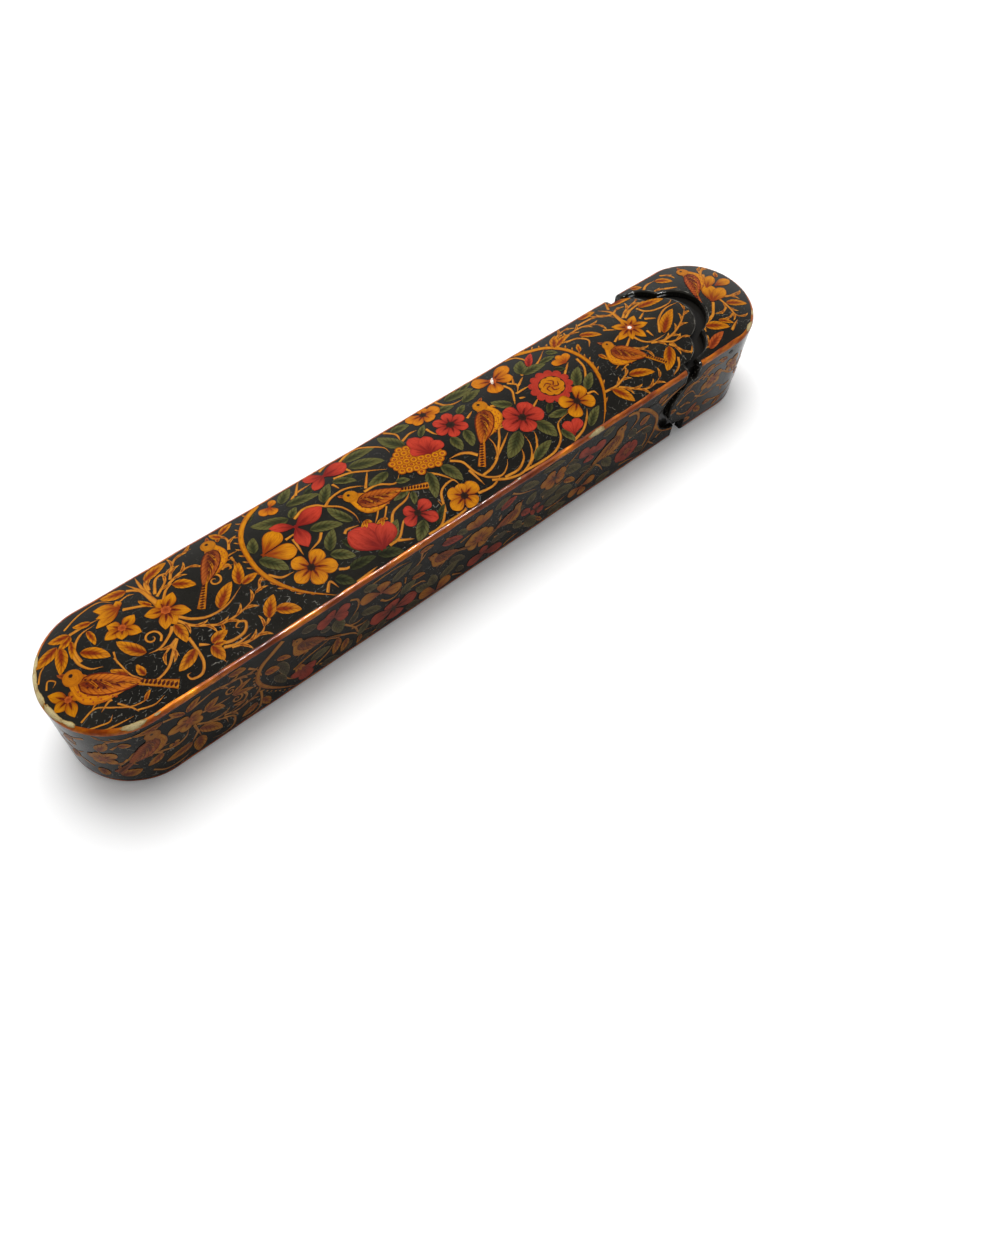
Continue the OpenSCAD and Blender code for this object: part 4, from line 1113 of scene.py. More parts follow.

# %% [markdown]
# ## The drawing of the sides
# The sides carry the same kind of scene, their paint darkened and veiled as painted shade and painted reflection:
# a medallion with coloured flowers and four birds, and golden scrolls towards the ends. The far side repeats the near
# one, as a pounced pattern does.

# %% Scrolls at the closed end of the sides
def side_scrolls(sheet):
    """Golden scrolls round the closed end, up to the rim of the medallion."""
    stems(sheet, [
        [(-94.5, 24.6), (-92, 23.6), (-89.5, 22)], [(-88, 22.3), (-84.5, 23.2), (-80.5, 24)],
        [(-86, 17.8), (-82, 16.8), (-78.5, 16.5)], [(-78, 16.6), (-75, 19), (-74.8, 22.2)],
        [(-75.3, 14.5), (-75, 12.5), (-77, 10.3), (-80.5, 9.5)], [(-72, 23.7), (-70, 20.5)],
        [(-98.5, 11.5), (-99.8, 13.5), (-98, 14.2)], [(-98.5, 12.5), (-95, 10.8), (-92, 12), (-90.8, 14)],
        [(-89.1, 14.5), (-89, 8)], [(-88.8, 11), (-91.5, 7.5)],
        [(-88.5, 14), (-86, 11.5), (-83.5, 9.5), (-82, 8), (-82, 5.3)],
        [(-82.5, 9), (-80, 6.5), (-81, 2.8), (-84, 1.7), (-87, 2.8)],
        [(-71.5, 10), (-72, 6.5), (-73.5, 2.8), (-76, 1.7), (-79, 2.4)],
        [(-102.5, 5), (-100, 2.8), (-96, 2.5), (-93, 3.5)], [(-111.5, 14.5), (-111.3, 18.5)],
        [(-106, 13), (-104, 16), (-102.5, 17)], [(-108, 19.6), (-106, 21.5)], [(-123, 16), (-119, 13), (-116, 15)],
        [(-116, 7), (-119, 10), (-123, 11)], [(-113, 24), (-117, 22), (-121, 23)],
        [(-108, 9), (-106, 11), (-104.6, 9.6)],
    ], 0.8, 0.6)
    twigs(sheet, [
        [(-82, 24), (-77.5, 22.7), (-74, 22), (-71, 20)], [(-82, 9.8), (-78, 8.3), (-71.5, 10.2)],
        [(-87, 12), (-84, 11), (-80.5, 10.3)], [(-106, 13.6), (-109, 10)], [(-102, 24.6), (-106, 24), (-109, 25)],
    ])
    path = stem(sheet, [(-62, 26), (-65.5, 23.5), (-69, 21), (-71, 17), (-71, 13), (-69, 8.5), (-66, 4.5),
                        (-62.5, 1.2)], GOLD, 1.4, 0.8, 2)
    for k in range(12, len(path) - 2, 2):
        disc(sheet, path[k] + np.array([-1.1, -0.5]), 0.3, STEM, 1)
    for at, radius, hand in [((-78, 18.9), 1.6, 1), ((-77.5, 13.8), 1.6, -1), ((-118, 18), 1.6, 1)]:
        curl(sheet, at, radius, STEM, 0.6, hand)
    leaves(sheet, [
        (-94.5, 25, -102, 24.8, 2.2), (-89.5, 22.2, -92.5, 26.3, 2.0), (-89, 22.2, -84.5, 25.5, 2.2),
        (-85.2, 17.5, -81, 20.3, 2.6), (-85, 17.3, -80.8, 13.8, 2.6), (-77, 26, -72.5, 24.4, 3.0),
        (-78, 16.6, -72.4, 18.9, 1.9), (-78, 16.2, -72.7, 13.9, 1.9), (-98.5, 11.5, -103, 7.8, 2.5),
        (-88.5, 11.5, -83.8, 4.8, 3.5), (-91.5, 7.5, -99, 6.2, 3.1), (-89.4, 8, -91.5, 1.6, 3.6),
        (-73.5, 5.8, -78.5, 3.4, 2.5), (-72, 6, -70.8, 1.4, 2.6), (-111.3, 18.5, -108, 22.7, 2.8),
        (-106, 21.5, -103.2, 20.5, 2.5), (-110, 4, -104.4, 7.2, 3.6), (-113.6, 7.4, -115.2, 3, 3.2),
        (-119, 13, -121.6, 7.4, 2.4), (-117, 22, -120.4, 18.6, 2.4), (-76, 10.4, -79, 11.8, 1.4),
    ], AMBER)
    petals(sheet, (-89.5, 18), [(-95.3, 18), (-91.6, 20.9), (-85.9, 19.4), (-86.9, 14.7), (-92.1, 14.7)], 3.3, GOLD,
           4, 0.58, RUST, 0.8)
    petals(sheet, (-111.5, 14), [(-107.8, 17.3), (-112, 17.6), (-115.2, 15.2), (-114, 11), (-109, 11.4)], 3.2, GOLD,
           4, 0.58, RUST, 0.8)
    petals(sheet, (-95, 12), [(-96.4, 12.8), (-93.8, 13), (-94.4, 10.8)], 1.4, GOLD, 4, 0.6, None)
    bird(sheet, (-98, 22.3), (-110.5, 6), 1, AMBER, RUST, RUST, 5, 0.95, (-0.14, 0.03))


print("scrolls of the closed end ready")

# %% Medallion of the sides
HAIR = 0.5
HAIRLINE = ((0.19, 0.145, 0.075), (0.12, 0.095, 0.050))


def edged_leaves(sheet, rows, pair):
    """Leaves on a slightly larger pale one, which shows as a hairline round them."""
    for x0, z0, x1, z1, width in rows:
        leaf(sheet, (x0, z0), (x1, z1), width + HAIR, HAIRLINE, 0)
        leaf(sheet, (x0, z0), (x1, z1), width, pair, 1)


def side_medallion(sheet):
    """The long middle field with its flowers and birds."""
    stem(sheet, [(56.5, 26), (60.5, 23), (63.5, 19.5), (65.8, 15.5), (65.8, 11), (64, 6.5), (61, 1.6)], GOLD, 1.4,
         0.8, 2)
    stem(sheet, [(52.5, 26.4), (56, 25), (56.8, 21.5), (54, 18.5)], GOLD, 1.3, 0.7, 2)
    stem(sheet, [(65.8, 11.4), (68.5, 8), (72, 5.5), (75.5, 3.4)], GOLD, 1.4, 0.8, 2)
    stem(sheet, [(66.6, 20.6), (69, 21.8), (72, 22.7), (76.5, 24)], GOLD, 1.2, 0.8, 2)
    stems(sheet, [
        [(-62, 9.8), (-58, 11.3), (-53, 12.4), (-49.5, 13.5)], [(-42.5, 24.5), (-40.5, 22.5), (-41, 19), (-43.5, 16)],
        [(-34.3, 15.5), (-32.5, 13.3), (-30, 12.8), (-27.5, 14.5)], [(-45.5, 15), (-43, 10.5), (-42, 7), (-37, 4.5)],
        [(-47.5, 11.5), (-44, 8.5), (-42.5, 6)], [(-56, 5), (-52, 7), (-50, 9.5)],
        [(-55, 4), (-52, 2.2), (-48.5, 1.8)], [(-42, 1.8), (-37.5, 2.4), (-33, 2.8)],
        [(-44.5, 13), (-42, 12.2), (-40, 12.8)], [(-44, 11), (-41, 10), (-39, 10.2)], [(-26, 18.5), (-26.5, 15.5)],
        [(-24, 19.5), (-21, 21.5), (-18.6, 23.8)], [(-38, 24.6), (-33, 25.4), (-28, 25.6), (-24, 24.6)],
        [(-25, 12), (-21.5, 11.6), (-20, 10)], [(-12.5, 24), (-10.5, 22.6)], [(-11.3, 4.5), (-8, 2)],
        [(-20, 25), (-21, 21.4)], [(5.6, 16), (6.2, 18.4)], [(10, 25), (13, 22.5), (18.5, 20)],
        [(7, 2.2), (10, 3.4), (13, 3.5)], [(13, 6.5), (18, 6.5), (21.5, 2.5)], [(21, 13.5), (25, 14.6), (29, 15.2)],
        [(22.5, 5.8), (27, 5.6), (31, 6.4)], [(29.5, 21), (32, 23), (34, 25)], [(46.5, 14), (50, 11.5)],
        [(46, 15), (43.5, 16.5)], [(40, 13.4), (43, 10.6), (45, 6.6)], [(52, 3.5), (56, 2.8), (58.6, 2)],
        [(61.5, 5.5), (62.6, 8.5), (62, 12)], [(54.5, 14.4), (60, 14.8), (64, 14)], [(64, 5.5), (67, 2)],
        [(67, 5), (70, 6.4)], [(-8, 17.8), (-4, 18.8)], [(3.6, 9.4), (7, 8.4), (10, 6.6)], [(-24, 3.8), (-27, 5)],
        [(-65.6, 12), (-64.4, 8), (-62.6, 5)],
    ], 0.75, 0.6)
    edged_leaves(sheet, [
        (-47.8, 19.8, -47.3, 12.8, 3.6), (-57, 8.5, -50.8, 9.5, 3.0), (-40.5, 15, -34.5, 11.5, 3.0),
        (-28, 11.5, -23, 14.5, 3.2), (-30, 20, -23.5, 23.5, 2.8), (-38.5, 25, -34.5, 22.5, 2.6),
        (-17.5, 6, -17.8, 11.3, 3.0), (-15.5, 6.3, -8.5, 10, 3.0), (-19, 6.5, -23.5, 10, 3.0),
        (12.5, 24.6, 19.5, 22, 3.0), (16, 14.5, 18.5, 18.8, 3.0), (15, 8.2, 18.5, 1.6, 4.0),
        (20.5, 25.4, 29, 24.5, 2.4), (29, 19, 35.5, 16, 3.4), (21, 12.5, 28, 13.8, 2.6), (26, 11, 33, 8.5, 3.4),
        (22, 8.5, 28.5, 8, 3.2), (23.5, 2.4, 31, 2.9, 3.0), (44, 12.5, 48, 6.5, 3.0), (37, 10.4, 42, 12.8, 2.6),
        (42.5, 2.2, 48.5, 3.6, 2.6), (43, 24, 47.5, 25.4, 2.4), (4, 22.4, 9.4, 24.6, 2.6),
        (10.6, 9.6, 13.6, 5.6, 2.6), (-9, 23.4, -5.4, 20.6, 2.2), (-39, 9.6, -43, 5.6, 2.4),
    ], GREEN)
    edged_leaves(sheet, [
        (-57, 24.5, -52.5, 22.5, 2.6), (-65, 17.6, -64, 9.4, 2.6), (-27.5, 3.4, -22.5, 1.8, 3.0),
        (-67, 12.6, -65, 6.4, 2.4), (54, 18, 57, 13.8, 3.0), (-52.4, 19.4, -49.4, 17.6, 1.8),
        (-37, 1.8, -33.6, 4.6, 2.2), (-25, 18.6, -20.6, 19.6, 2.4), (60, 13.6, 64.4, 11, 2.6),
        (30, 21.4, 34.2, 20.2, 2.0), (10, 13.6, 14.6, 15.6, 2.4), (-10, 6.4, -7.4, 3.6, 2.0),
        (48, 16.8, 51.6, 13.8, 2.2), (58, 6.4, 62, 3.4, 2.4), (-47.6, 2.6, -44.4, 5.2, 2.2), (-55, 3, -49, 1.4, 2.4),
        (-44, 1.5, -38.4, 2.6, 2.2), (-12, 12.4, -6.6, 8.6, 2.6), (2.4, 7.4, 8.8, 8, 2.2),
        (20, 14.6, 26.6, 15.4, 2.4), (35, 14, 40, 13, 2.0), (-44, 13.4, -41, 17, 2.0), (-13, 16, -9.6, 18.4, 2.0),
    ], DEEP_GREEN)
    for x0, z0, x1, z1, width, pair in [
        (-69, 17.2, -65.2, 15, 3.2, ORANGE), (58.5, 17.5, 62.2, 19.6, 3.4, ORANGE),
        (-65, 19.8, -61.5, 16.8, 2.0, ORANGE), (-48.3, 11, -50.8, 4.3, 2.6, AMBER), (-46, 8, -48.5, 3, 2.4, AMBER),
        (-42, 5.5, -43.6, 1.8, 1.5, AMBER), (-24.3, 16, -20, 14.5, 2.2, ORANGE), (-14, 22.5, -7, 19.8, 3.2, RED),
        (-21, 25.3, -16.5, 25.2, 2.0, ORANGE), (6, 20.5, 11.6, 22.8, 3.0, RED), (13.4, 12.8, 16.6, 10, 3.0, RED),
        (29, 14.8, 33.5, 11.3, 2.4, YELLOW), (65.2, 22.4, 68.6, 24.2, 2.6, AMBER), (19, 5, 21.4, 1.8, 1.5, AMBER),
    ]:
        leaf(sheet, (x0, z0), (x1, z1), width, pair, 3)
    petals(sheet, (-47.8, 21.8), [(-53, 21.8, 4.2), (-49.3, 24.6, 4.2), (-42.8, 23.4, 3.6), (-44.2, 18.6, 3.6)], 4,
           RED, 3, 0.66, None)
    petals(sheet, (-33.8, 18.8), [(-40.2, 20.9, 4.4), (-32.2, 22.7, 4.4), (-27.6, 15.7, 4.4)], 4, ORANGE, 3, 0.68,
           None)
    petals(sheet, (-31, 7.5), [(-38.7, 7.5, 5.4), (-31.5, 11.3, 5.2), (-23.3, 7.3, 5.4), (-30.8, 2.7, 5.6)], 5, RED,
           3, 0.68, DARK, 0.8)
    petals(sheet, (-59.6, 8.6), [(-62.4, 5.2, 4.4), (-56.6, 5.2, 4.4), (-59.2, 1.8, 4.6)], 4, RED, 3, 0.7, None)
    petals(sheet, (-60.4, 10.4), [(-61.8, 8), (-60.2, 7.4), (-58.8, 8.2)], 1.2, YELLOW, 5, 0.4, None)
    petals(sheet, (-17.3, 1.8), [(-22.6, 5.6), (-12.3, 5.6)], 4.6, ORANGE, 3, 0.66, None)
    petals(sheet, (-1.5, 19.8), [(-5.6, 23.9), (2.9, 23.9), (-1.5, 25)], 3.3, ORANGE, 3, 0.62, None)
    petals(sheet, (-1.8, 13.6), [(-4.2, 17.7), (0.4, 17.7), (3.5, 14.3), (0.6, 9.8), (-5.6, 11.6), (-6.6, 15.2)], 4.2,
           YELLOW, 3, 0.66, RUST, 0.9)
    petals(sheet, (0, 5), [(-6.2, 4, 4.2), (-0.3, 8.3, 3.2), (6.5, 3, 3.8)], 4, RED, 3, 0.6, None)
    petals(sheet, (19, 9.6), [(19, 12.4), (21.5, 7.3), (16.9, 8.8)], 2.9, RED, 3, 0.66, DARK, 0.5)
    petals(sheet, (25.3, 19.3), [(19.9, 19.8), (22.9, 22.9), (29.4, 21.1), (28.6, 16.4), (22.7, 15.8)], 3.7, ORANGE,
           3, 0.66, DARK, 0.7)
    petals(sheet, (38.5, 19.5), [(34.6, 23.7), (44.5, 21.6), (38, 16.5), (39.6, 22.6, 2.6)], 4.2, RED, 3, 0.66, None)
    petals(sheet, (36.5, 5.8), [(31.3, 4.8), (42, 6.4), (37, 1.8)], 3.5, ORANGE, 3, 0.68, None)
    petals(sheet, (54.5, 8.5), [(49.6, 7.8), (52.6, 12.4), (58.6, 10.2), (54, 4.4), (57.6, 6)], 5.2, RED, 3, 0.68,
           RUST, 1.0)
    bird(sheet, (-58.8, 21.8), (-47.6, 11.4), -1, AMBER, BROWN, AMBER, 5, 1.25, (-0.12, 0.06))
    bird(sheet, (-17, 19.8), (-4.6, 13), -1, AMBER, RUST, AMBER, 5, 1.15)
    bird(sheet, (12.2, 17.6), (0, 11), 1, AMBER, RUST, AMBER, 5, 1.2)
    bird(sheet, (50.3, 21.8), (34.4, 9), 1, GOLD, AMBER, AMBER, 5, 1.0)


print("medallion of the sides ready")

# %% Sides of the head
def side_head(sheet):
    """The side of the head and round its nose."""
    stems(sheet, [
        [(74, 15), (77, 17.4), (80, 17.6), (82, 15)], [(82, 14), (86, 11.6), (92, 11.8)],
        [(93, 18), (99, 14), (107, 17), (115, 13), (123, 16)], [(90, 6.6), (96, 5), (103, 7)],
        [(75, 11), (78, 8.4), (83, 7.6)], [(84, 20), (88, 22.6), (93, 22)], [(86, 16), (84, 13), (81, 11.4)],
    ], 0.8, 0.6)
    twigs(sheet, [
        [(78, 20), (82, 21.4), (85.4, 21)], [(76, 13), (79.6, 13.4)], [(92, 12), (96, 9.4)], [(100, 14), (103, 20)],
    ])
    leaves(sheet, [
        (71, 13.4, 74.4, 12.8, 2.0), (87, 6.8, 91, 6.2, 2.0), (84, 22.2, 88.4, 24, 2.4), (100, 13.6, 98, 20, 2.4),
        (100, 13, 105, 8, 2.4), (107, 17, 110, 22, 2.4), (115, 13, 112, 7, 2.4), (115, 13, 119, 20, 2.4),
        (76.4, 18.6, 80.4, 21.6, 2.2), (94, 23, 90, 24.6, 2.0), (83, 7.6, 86.4, 4, 2.4), (78.6, 4.4, 82.4, 3.4, 2.0),
        (96, 5, 92, 2.6, 2.2), (103, 7, 107, 4.6, 2.2),
    ], AMBER)
    leaf(sheet, (80, 6), (84, 9.8), 2.2, RUST)
    petals(sheet, (88.8, 17.2), [(84.2, 15.4), (86.8, 19.4), (92.8, 18.8), (92, 14.6), (88, 13.4)], 3.2, GOLD, 3,
           0.58, RUST, 0.8)
    petals(sheet, (97, 18.6), [(94.6, 21), (99, 21.8), (99.6, 16.6), (95.2, 16.4)], 2.8, GOLD, 3, 0.58, RUST, 0.6)
    petals(sheet, (109, 12.4), [(112, 14.6), (106, 14.4), (107, 9.4), (111.4, 9.4)], 2.8, GOLD, 3, 0.58, RUST, 0.6)


# Painted shade and painted reflection: the paint on both sides is darkened to this share and veiled with the
# grey-brown haze.
SIDE_PAINTED_SHADE = 0.6
for face, side in (("near", -1), ("far", 1)):
    painting = Painting(lay_side(side), keep_sleeve, SIDE_PAINTED_SHADE)
    side_scrolls(painting)
    side_medallion(painting)
    painting.build("painting_" + face + "_side", "sleeve", brushwork)
    painting = Painting(lay_side(side), keep_head, SIDE_PAINTED_SHADE)
    side_head(painting)
    painting.build("painting_head_" + face + "_side", "drawer", brushwork)

# %% [markdown]
# ## The band along the edge
# A painted band of orange-brown with gilding, rubbed by hands, covers the rounded upper edge.
# A thin dull line runs along the foot. Both are laid on as long strips of the same skin.

# %% Bands
gilt_band, tree = start("gilt_band")
place = tree.node("TexCoord", out=3)
patch = noise(tree, stretched(place, 90.0, 260.0, 260.0), 1.0, 5.0, 0.62, 0.3)
fine = noise(tree, place, 1100.0, 4.0, 0.6)
worn = noise(tree, place, 140.0, 5.0, 0.62)
dash = noise(tree, stretched(place, 900.0, 160.0, 160.0), 1.0, 3.0, 0.5).step(0.46, 0.56)
tone = patch.node("ValToRGB", {"stops": [(0.30, (0.12, 0.016, 0.001)), (0.44, (0.27, 0.047, 0.002)),
                                         (0.58, (0.43, 0.108, 0.003)), (0.76, (0.58, 0.22, 0.01))]}, {0: patch})
bare = worn.step(0.60, 0.70) * fine.step(0.40, 0.62)
tone = mix(bare * 0.8, tone, (0.035, 0.017, 0.009))
bump = tree.node("Bump", None, {"Strength": 0.5, "Distance": 0.0002, "Height": patch + fine * 0.3 - bare * 0.5})
close(tree, tree.node("BsdfPrincipled", None, {
    "Base Color": tone, "Roughness": 0.30 + fine * 0.24, "Metallic": patch.step(0.45, 0.8) * 0.3, "Normal": bump,
    "Coat Weight": 0.04 + dash * 0.26 - bare * 0.03, "Coat Roughness": 0.09, "Specular IOR Level": 0.05,
}))
BAND_TOP, BAND_FOOT = RUN_EDGE + 0.26, RUN_WALL + 0.12
LINE_TOP, LINE_FOOT = RUN_WALL + EDGE_Z - 1.5, RUN_WALL + EDGE_Z - 0.9
SLEEVE_STOP, HEAD_STOP, BAND_ROWS = 76.6, 74.0, 220


def band(name, body, end, keep, top_run, foot_run, columns, wobble):
    """A strip round one shell, between two lines down the section."""
    tip = END_X + HALF_WIDTH * math.pi / 2
    half = np.linspace(end * tip, SLEEVE_STOP if end < 0 else HEAD_STOP, BAND_ROWS)
    points, faces = [], []
    for side in (1, -1):
        u = np.repeat(half[:, None], columns, 1)
        swing = wobble * (np.sin(u * 0.9) + np.sin(u * 0.37 + 1)) * 0.5
        share = np.linspace(0, 1, columns)[None]
        s = top_run + (foot_run - top_run) * share + swing * np.abs(2 * share - 1)
        u, past = keep(u, s)
        grid = skin(u, s, side, np.full(u.shape, FILM))
        shown = grid_faces(*u.shape)
        shown = shown[(past.ravel()[shown] < 0).any(1)]
        points.append(grid.reshape(-1, 3))
        faces.append(shown + sum(len(p) for p in points[:-1]))
    mesh = bpy.data.meshes.new(name)
    mesh.from_pydata(np.concatenate(points).tolist(), [], np.concatenate(faces).tolist())
    shape = bmesh.new()
    shape.from_mesh(mesh)
    bmesh.ops.delete(shape, geom=[v for v in shape.verts if not v.link_faces], context="VERTS")
    bmesh.ops.remove_doubles(shape, verts=shape.verts, dist=2e-6)
    bmesh.ops.recalc_face_normals(shape, faces=shape.faces)
    if sum(f.normal.dot(outwards(f.calc_center_median())) for f in shape.faces) < 0:
        bmesh.ops.reverse_faces(shape, faces=shape.faces)
    shape.to_mesh(mesh)
    shape.free()
    mesh.shade_smooth()
    mesh.materials.append(gilt_band)
    piece = add_object(name, mesh)
    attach(piece, body)
    print(name, len(mesh.polygons), "faces")


band("band_sleeve", "sleeve", -1, keep_sleeve, BAND_TOP, BAND_FOOT, 9, 0.12)
band("band_head", "drawer", 1, keep_head, BAND_TOP, BAND_FOOT, 9, 0.12)
band("foot_line_sleeve", "sleeve", -1, keep_sleeve, LINE_TOP, LINE_FOOT, 3, 0.06)
band("foot_line_head", "drawer", 1, keep_head, LINE_TOP, LINE_FOOT, 3, 0.06)

# %% [markdown]
# ## Wear along the edges
# The edges have been knocked: the gilt band is chipped through to the cream-coloured gesso under the paint.
# A chip is a small dab of gesso with a ragged rim, laid over the band in the same way as a stroke.

# %% Chips
GESSO = ((0.56, 0.47, 0.24), (0.30, 0.19, 0.06))
PIT = ((0.006, 0.004, 0.003), (0.014, 0.008, 0.005))
CHIP_STEPS, CHIP_RINGS = 36, 5


def lay_edge(side):
    """Places given straight as the way round the case and the run down its section from the band's upper line."""
    def lay(x, down):
        return x, RUN_EDGE + down, side + 0 * x, np.full(np.shape(x), -1.0)
    return lay


def chip(sheet, middle, reach, pair, seed, layer=4):
    """A ragged dab, longer one way."""
    ragged = random.Random(seed)
    a = np.linspace(0, 2 * math.pi, CHIP_STEPS + 1)
    rim = np.array([1 + 0.22 * (ragged.random() - 0.5) + 0.12 * math.sin(3 * t + seed) for t in a])
    rim[-1] = rim[0]
    r = np.linspace(0.02, 1, CHIP_RINGS)[None]
    out_x, out_s = reach[0] * (rim * np.cos(a))[:, None] * r, reach[1] * (rim * np.sin(a))[:, None] * r
    grid = np.stack([middle[0] + out_x, middle[1] + out_s], -1)
    share = r ** 5 + 0.35 * np.abs(np.sin(9 * a))[:, None] * r
    sheet.stroke(grid, tone_mix(share, pair), layer, (reach[0] * 4, reach[1]))


CHIPS = [
    ("chips_near_edge", "sleeve", -1, keep_sleeve, [
        ((-101.8, 0.9), (3.0, 0.9), GESSO, 3), ((39.8, 1.5), (2.9, 1.0), GESSO, 5),
        ((-122, 0.7), (3.6, 0.95), GESSO, 8), ((-117.2, 0.5), (2.0, 0.7), GESSO, 11),
        ((-96, 0.8), (0.9, 0.3), GESSO, 21), ((12, 0.4), (0.6, 0.25), GESSO, 23),
    ]),
    ("chips_far_edge", "sleeve", 1, keep_sleeve, [
        ((-122.5, 0.7), (3.2, 0.95), GESSO, 2), ((-118, 0.7), (3.2, 0.9), GESSO, 4),
        ((-113.6, 0.6), (2.6, 0.7), GESSO, 6),
    ]),
    ("chips_head_edge", "drawer", -1, keep_head, [
        ((104.4, 0.8), (2.5, 0.8), GESSO, 7), ((110.5, 0.5), (1.2, 0.35), GESSO, 9),
        ((95, 4.6), (0.8, 0.6), PIT, 12),
    ]),
]
for name, body, side, keep, dabs in CHIPS:
    worn_edge = Painting(lay_edge(side), keep)
    for dab in dabs:
        chip(worn_edge, *dab)
    worn_edge.build(name, body, brushwork)

# %% [markdown]
# The lips of the joint are rounded, and their round corner catches the light. A thin uneven line of grey follows
# each cut just inside its rim: a painted highlight of that rounded lip.

# %% Painted highlights on the lips
# Painted highlight: light grey where the rounded lip catches the light, fading unevenly to near black.
LIP_HIGHLIGHT_PAINT = ((0.15, 0.145, 0.125), (0.012, 0.011, 0.009))
LIP_WIDTH, LIP_ROWS, LIP_COLUMNS = 0.42, 170, 4


def lay_cut(side, cut, way):
    """Places given as the way in from a cut and the run down the section."""
    def lay(inset, run):
        return cut(run) + way * (CUT_ROOM + inset), run, side + 0 * run, np.full(np.shape(run), -1.0)
    return lay


# Lays a thin stroke of painted highlight just inside each cut, on both sides.
def paint_lip_highlight(name, body, cut, way, keep):
    for side, hand in ((-1, "near"), (1, "far")):
        sheet = Painting(lay_cut(side, cut, way), keep)
        run = np.linspace(0, RUN_FOOT, LIP_ROWS)[:, None]
        inset = np.linspace(0, LIP_WIDTH, LIP_COLUMNS)[None]
        # The painted highlight comes and goes along the lip and fades inwards.
        uneven = 0.5 + 0.3 * np.sin(0.9 * run + side) + 0.3 * np.sin(2.3 * run + 2 * way)
        share = np.clip(uneven, 0, 1) + 0.5 * (inset / LIP_WIDTH)
        sheet.stroke(np.stack(np.broadcast_arrays(inset, run), -1), tone_mix(share, LIP_HIGHLIGHT_PAINT), 1,
                     (RUN_FOOT, LIP_WIDTH))
        sheet.build(f"{name}_{hand}", body, brushwork)


paint_lip_highlight("sleeve_lip_highlight", "sleeve", sleeve_end, -1, keep_sleeve)
paint_lip_highlight("head_lip_highlight", "drawer", head_start, 1, keep_head)

# %% [markdown]
# ## The drawer and what lies in it
# The drawer is pasted paper too, black outside and red inside, and is drawn out like a tongue.
# Its shape is right as it stands, so only its finish is made here. The red is chosen by place, inside the trough.

# %% Drawer
TAIL_X, TROUGH_R, TROUGH_FLOOR, NECK_X, RIM_Z = -0.093, 0.0149, 0.0036, 0.0684, 0.0208
drawer_lacquer, tree = start("drawer_lacquer")
place = tree.node("TexCoord", out=3)
x, y, z = (tree.node("SeparateXYZ", None, {0: place}, out=k) for k in range(3))
past_tail = tree.math("MAXIMUM", TAIL_X - x, 0.0)
reach = tree.math("SQRT", past_tail * past_tail + y * y)
inside = tree.math("LESS_THAN", reach, TROUGH_R) * (z > TROUGH_FLOOR) * tree.math("LESS_THAN", x, NECK_X)
on_rim = (z > RIM_Z) * tree.math("LESS_THAN", x, NECK_X)
cloud = noise(tree, place, 70.0, 5.0, 0.6)
fine = noise(tree, place, 1200.0, 3.0, 0.6)
spill = noise(tree, place, 120.0, 5.0, 0.7, 0.5).step(0.56, 0.66)
red = mix(cloud.step(0.3, 0.75), (0.200, 0.022, 0.014), (0.120, 0.012, 0.009))
red = mix(spill * 0.75, red, (0.018, 0.010, 0.009))
black = mix(cloud * 0.5 + fine * 0.2, (0.006, 0.0055, 0.005), (0.018, 0.016, 0.014))
tone = mix(inside * (1 - on_rim), black, red)
tone = mix(on_rim * 0.7, tone, (0.22, 0.075, 0.010))
bump = tree.node("Bump", None, {"Strength": 0.3, "Distance": 0.0003, "Height": cloud + fine * 0.15})
close(tree, tree.node("BsdfPrincipled", None, {
    "Base Color": tone, "Roughness": 0.24 + cloud * 0.16 + fine * 0.1, "Normal": bump,
    "Coat Weight": 0.5 - spill * 0.25,
    "Coat Roughness": 0.07, "Coat IOR": 1.46, "Specular IOR Level": 0.05,
}))
print("drawer lacquer with", len(drawer_lacquer.node_tree.nodes), "nodes")

# %% [markdown]
# The inkwell and the ladle are brass with clouds of brown age, the blade and the hinge pin are ground steel,
# the pens are cut from reed with its long fibres, and the plate and the knife's handle are bone with fine dark pores.

# %% Metal, reed and bone
def finish(name, light, dark, metal, rough, along, across, grain_share):
    """A procedural finish with a grain that runs along the box, clouds of age and a fine relief."""
    material, tree = start(name)
    place = tree.node("TexCoord", out=3)
    grain = noise(tree, stretched(place, along, across, across), 1.0, 5.0, 0.62, 0.2)
    age = noise(tree, place, 160.0, 5.0, 0.62)
    tone = mix(grain.step(0.35, 0.75) * grain_share + age.step(0.5, 0.72) * 0.5, light, dark)
    bump = tree.node("Bump", None, {"Strength": 0.25, "Distance": 0.0001, "Height": grain + age * 0.4})
    close(tree, tree.node("BsdfPrincipled", None, {
        "Base Color": tone, "Metallic": metal, "Roughness": rough + grain * 0.2 + age * 0.12, "Normal": bump,
    }))
    return material


